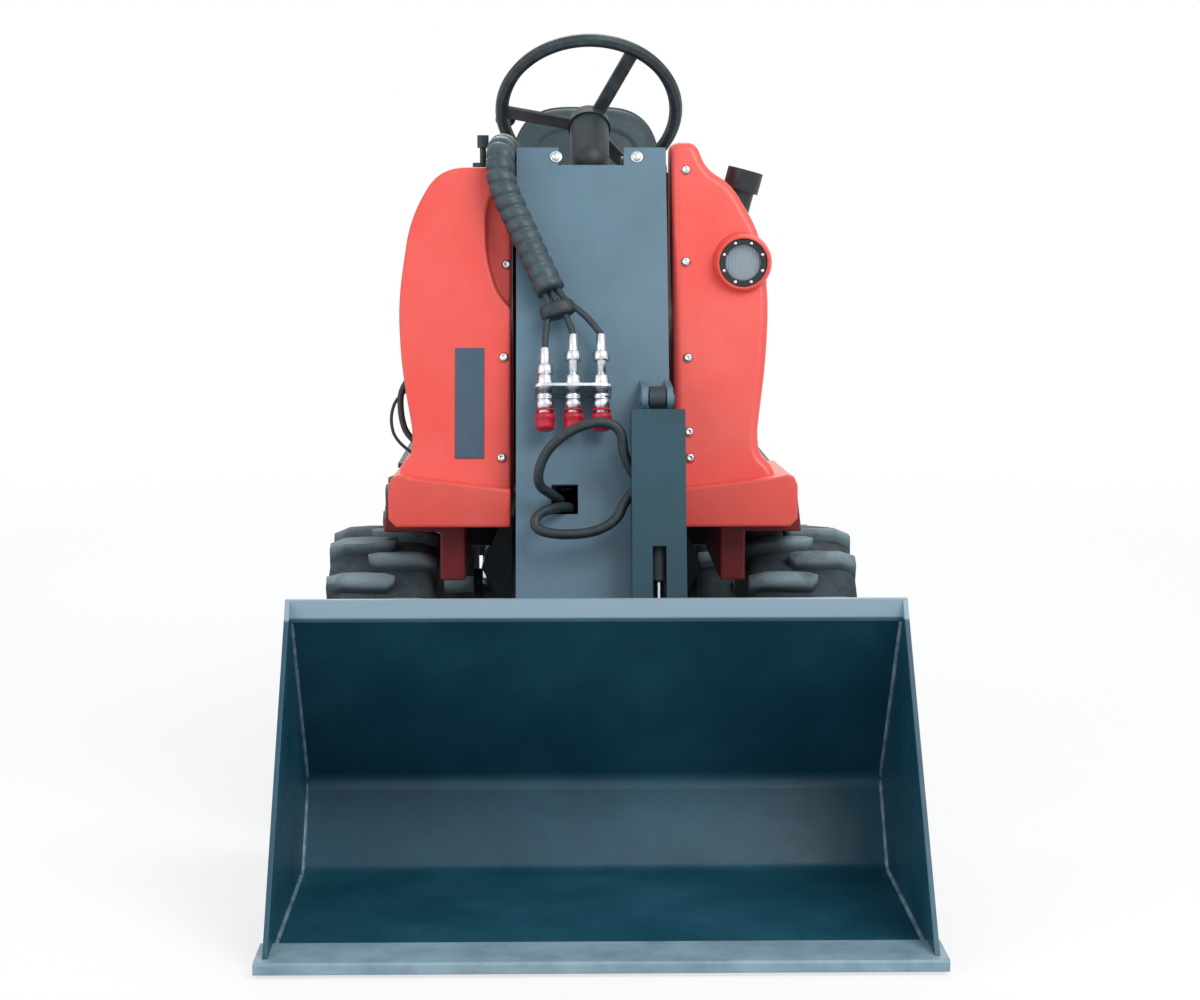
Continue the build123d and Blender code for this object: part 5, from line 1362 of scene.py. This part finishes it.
@dataclass
class Couplers:
    """Three quick couplers through a plate on the boom, with their dust caps.

    Attributes:
        along: Place of the plate's top along the boom in millimetres.
        out: Distance of the couplers' axis behind the pivot line in millimetres, less than zero in front.
        across: Places of the couplers across the boom, and lengths of their stems.
        plate: Width, reach from the boom's face and thickness of the plate.
        corner: Radius of the plate's outer corners.
        boom_face: The boom's face behind the pivot line in millimetres, less than zero in front.
        cap: Radius and height of a dust cap's section.
        ring: Radius, height and half thickness of a cap's ring.
    """

    along: float = 452.0
    out: float = -92.0
    across: tuple[Pair, ...] = ((-87, 76), (-36, 102), (15, 102))
    plate: Triple = (140.0, 72.0, 6.0)
    corner: float = 16.0
    boom_face: float = -50.0
    cap: tuple[Pair, ...] = (
        (0, 60), (13.5, 60), (13.5, 52), (18.5, 52), (18.5, 61), (17, 62), (17, 74), (16, 78), (13, 80),
        (0, 80),
    )
    ring: Triple = (14.8, 44.0, 2.3)

    def build(self) -> None:
        """Make the plate, the couplers, the caps and their rings."""
        self.make_plate()
        for number, (across, stem) in enumerate(self.across):
            forms = (
                (((0, -stem), (7.5, -stem), (9, 2 - stem), (9, -20), (0, -20)), 20),
                (((0, 34 - stem), (14, 34 - stem), (15.5, 36 - stem), (15.5, 50 - stem), (14, 52 - stem),
                  (0, 52 - stem)), 6),
                (((0, -22), (14, -22), (15.5, -20), (15.5, -2), (14, 0), (0, 0)), 6),
                (((0, 5), (12.4, 5), (12.4, 12), (15, 14), (15, 20), (14, 21), (14, 24), (15, 25), (15, 38),
                  (12.4, 40), (12.4, 60), (11, 62), (0, 62)), 24),
            )
            mesh = turned_mesh("coupler", *forms)
            spot = [(boom_point(self.along, self.out, across), BOOM_DOWN)]
            coupler = Scatter(f"coupler_{number + 1}", mesh, ZINC_STEEL).build(spot, heading=SIDE)
            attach(coupler, "boom_body")
            if number == 1:
                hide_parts("couplers")
        cap = turned_mesh("dust_cap", (self.cap, 24))
        radius, level, thick = self.ring
        angles = [math.tau * i / 8 for i in range(9)]
        section = [(radius + thick * math.cos(a), level + thick * math.sin(a)) for a in angles]
        ring = turned_mesh("ring", (section, 24))
        spots = [(boom_point(self.along, self.out, across), BOOM_DOWN) for across, _ in self.across]
        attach(Scatter("dust_caps", cap, CAP_RUBBER).build(spots, heading=SIDE), "boom_body")
        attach(Scatter("tether_rings", ring, CAP_RUBBER).build(spots, heading=SIDE), "boom_body")
        log.info("made couplers, caps and rings")

    def make_plate(self) -> None:
        """Make the thin plate with rounded outer corners."""
        width, reach, thick = self.plate
        middle = sum(across for across, _ in self.across) / len(self.across)
        corner = self.corner
        outer = self.boom_face - reach + corner
        outline = [(middle - width / 2, self.boom_face), (middle - width / 2, outer)]
        for side, start in ((-1, math.pi), (1, 1.5 * math.pi)):
            for i in range(7):
                angle = start + math.pi / 2 * i / 6
                outline.append((middle + side * (width / 2 - corner) + corner * math.cos(angle),
                                outer + corner * math.sin(angle)))
        outline.append((middle + width / 2, self.boom_face))
        rows = [[boom_point(self.along + level, rear, across) for across, rear in outline]
                for level in (0.0, thick)]
        mesh = solid_mesh("coupler_plate", rows)
        plate = make_piece("coupler_plate", mesh, ZINC_STEEL)
        Cowls.soften(plate, 0.8)
        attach(plate, "boom_body")
        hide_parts("coupler_bracket")


@dataclass
class Louvres:
    """Pressed louvres on both sides of the rear hood.

    Attributes:
        count: Louvres on each side.
        pitch: Distance between two louvres in millimetres.
        middle: Y and Z of the middle of a row in millimetres.
        side_x: Where the hood's sides stand in millimetres.
        section: A louvre's section, as place along the row and height in millimetres.
        stations: Places along a louvre where its section stands, and the height that it is cut down to.
    """

    count: int = 7
    pitch: float = 44.0
    middle: Pair = (935.0, 750.0)
    side_x: float = 280.0
    section: tuple[Pair, ...] = ((-9, -1), (9, -1), (7, 5), (-9, 1))
    stations: tuple[Pair, ...] = ((-65, 0), (-60, math.inf), (60, math.inf), (65, 0))

    def build(self) -> None:
        """Press the louvres and let them ride on the hood."""
        rows = []
        for y, top in self.stations:
            rows.append([Vector((x, y, min(z, top))) * MM for x, z in self.section])
        mesh = solid_mesh("louvre", rows)
        spots = []
        for side in (-1.0, 1.0):
            for i in range(self.count):
                y = self.middle[0] + self.pitch * (i - (self.count - 1) / 2)
                spots.append((Vector((side * self.side_x, y, self.middle[1])) * MM, SIDE * side))
        louvres = Scatter("hood_louvres", mesh, RED_PLASTIC).build(spots, heading=Vector((0.0, 1.0, 0.0)))
        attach(louvres, "hood_body")
        log.info("pressed hood_louvres")


@dataclass
class Studio:
    """Floor, lamps, world and the camera at the photograph's place.

    Attributes:
        camera_at: Camera place in metres.
        pitch: How far the camera looks down, in radians.
        yaw: How far the camera turns towards +X, in radians.
        focal_px: Focal length in pixels of the photograph.
        image_px: Width of the photograph in pixels.
        floor_colour: Colour of the floor as sRGB hex.
        floor_rough: Roughness of the floor.
        floor_half: Half the floor's width in metres.
        floor_white: How far the camera sees the floor as plain white, from 0 to 1, near the machine.
        fade: Distances in metres between which the floor turns wholly white.
        world_colour: Colour of the room's light as sRGB hex.
        world_strength: Strength of the room's light.
        aim_at: Where the lamps look, in metres.
        lamps: Name, place in metres, size in metres and power in watts of each lamp.
    """

    camera_at: Triple = (-0.0757, -5.055, 1.1775)
    pitch: float = 0.1163
    yaw: float = 0.019
    focal_px: float = 2569.0
    image_px: float = 1200.0
    floor_colour: str = "#EEF0F1"
    floor_rough: float = 0.85
    floor_half: float = 60.0
    floor_white: float = 0.72
    fade: Pair = (1.8, 6.5)
    world_colour: str = "#F4F6F8"
    world_strength: float = 0.55
    aim_at: Triple = (0.0, -0.3, 0.6)
    lamps: tuple[tuple[str, Triple, float, float], ...] = (
        ("key_lamp", (2.6, -3.6, 4.6), 3.0, 190.0),
        ("fill_lamp", (-3.8, -3.0, 2.6), 3.0, 60.0),
        ("rim_lamp", (0.0, 3.8, 4.2), 2.6, 110.0),
    )

    def build(self) -> None:
        """Make the whole studio."""
        self.make_floor()
        self.make_world()
        self.make_lamps()
        self.make_camera()
        bpy.context.scene.view_settings.view_transform = "Standard"
        log.info("set up the studio")

    @staticmethod
    def seen(tree: bpy.types.NodeTree, share: float | bpy.types.NodeSocket) -> bpy.types.NodeSocket:
        """Tell the rays that look at the background from those that light the object.

        Args:
            tree: Tree of the floor's or the world's material.
            share: What the socket gives for a ray that looks.

        Returns:
            The share for camera, glossy and transmission rays, otherwise zero.
        """
        path = add_node(tree, "ShaderNodeLightPath").outputs
        either = add_node(tree, "ShaderNodeMath", {0: path["Is Camera Ray"], 1: path["Is Glossy Ray"]},
                          operation="MAXIMUM").outputs[0]
        looks = add_node(tree, "ShaderNodeMath", {0: either, 1: path["Is Transmission Ray"]},
                         operation="MAXIMUM").outputs[0]
        return add_node(tree, "ShaderNodeMath", {0: looks, 1: share}, operation="MULTIPLY").outputs[0]

    def make_floor(self) -> None:
        """Lay a wide pale floor that keeps the machine's shadow."""
        reach = self.floor_half
        mesh = bpy.data.meshes.new("studio_floor")
        mesh.from_pydata([(-reach, -reach, 0), (reach, -reach, 0), (reach, reach, 0), (-reach, reach, 0)], [],
                         [(0, 1, 2, 3)])
        floor = bpy.data.objects.new("studio_floor", mesh)
        bpy.context.collection.objects.link(floor)
        material = Finish("pale_floor", self.floor_colour, self.floor_colour, self.floor_rough,
                          surface=Surface.SMOOTH).build()
        mesh.materials.append(material)
        tree = material.node_tree
        white = add_node(tree, "ShaderNodeEmission", {"Color": linear("#FFFFFF"), "Strength": 1.0})
        place = add_node(tree, "ShaderNodeTexCoord").outputs["Object"]
        away = add_node(tree, "ShaderNodeVectorMath", {0: place}, operation="LENGTH").outputs["Value"]
        share = add_node(tree, "ShaderNodeMapRange", {
            "Value": away, "From Min": self.fade[0], "From Max": self.fade[1], "To Min": self.floor_white,
            "To Max": 1.0}, interpolation_type="SMOOTHSTEP").outputs[0]
        mixed = add_node(tree, "ShaderNodeMixShader", {
            0: self.seen(tree, share), 1: tree.nodes["Principled BSDF"].outputs[0], 2: white.outputs[0]})
        tree.links.new(mixed.outputs[0], tree.nodes["Material Output"].inputs["Surface"])

    def make_world(self) -> None:
        """Light the room evenly, and show a white background."""
        world = bpy.data.worlds.new("studio_world")
        world.use_nodes = True
        bpy.context.scene.world = world
        tree = world.node_tree
        light = tree.nodes["Background"]
        light.inputs["Color"].default_value = linear(self.world_colour)
        light.inputs["Strength"].default_value = self.world_strength
        white = add_node(tree, "ShaderNodeBackground", {"Color": linear("#FFFFFF"), "Strength": 1.0})
        mixed = add_node(tree, "ShaderNodeMixShader", {0: self.seen(tree, 1.0), 1: light.outputs[0],
                                                       2: white.outputs[0]})
        tree.links.new(mixed.outputs[0], tree.nodes["World Output"].inputs["Surface"])

    def make_lamps(self) -> None:
        """Hang a large key over the front right, a fill and a rim lamp."""
        for name, place, size, power in self.lamps:
            lamp = bpy.data.lights.new(name, "AREA")
            lamp.energy = power
            lamp.size = size
            item = bpy.data.objects.new(name, lamp)
            item.location = place
            aim = Vector(self.aim_at) - Vector(place)
            item.rotation_euler = aim.to_track_quat("-Z", "Y").to_euler()
            bpy.context.collection.objects.link(item)

    def make_camera(self) -> None:
        """Stand the camera where the photograph was taken from."""
        data = bpy.data.cameras.new("photo_camera")
        data.sensor_fit = "HORIZONTAL"
        data.sensor_width = 36.0
        data.lens = self.focal_px / self.image_px * data.sensor_width
        camera = bpy.data.objects.new("photo_camera", data)
        camera.location = self.camera_at
        camera.rotation_euler = Euler((math.pi / 2 - self.pitch, 0.0, -self.yaw))
        bpy.context.collection.objects.link(camera)
        bpy.context.scene.camera = camera


def main() -> None:
    """Build the dressed loader in order."""
    logging.basicConfig(level=logging.INFO, format="%(name)s: %(message)s")
    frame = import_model()
    Studio().build()
    Paintwork().build(frame["nodes"])
    for wheel in WHEELS:
        Tyre(*wheel).build()
    Cowls().build()
    Couplers().build()
    Hydraulics().build()
    Louvres().build()
    Seat().build()
    Fasteners().build()
    BucketWelds().build()


if __name__ == "__main__":
    main()
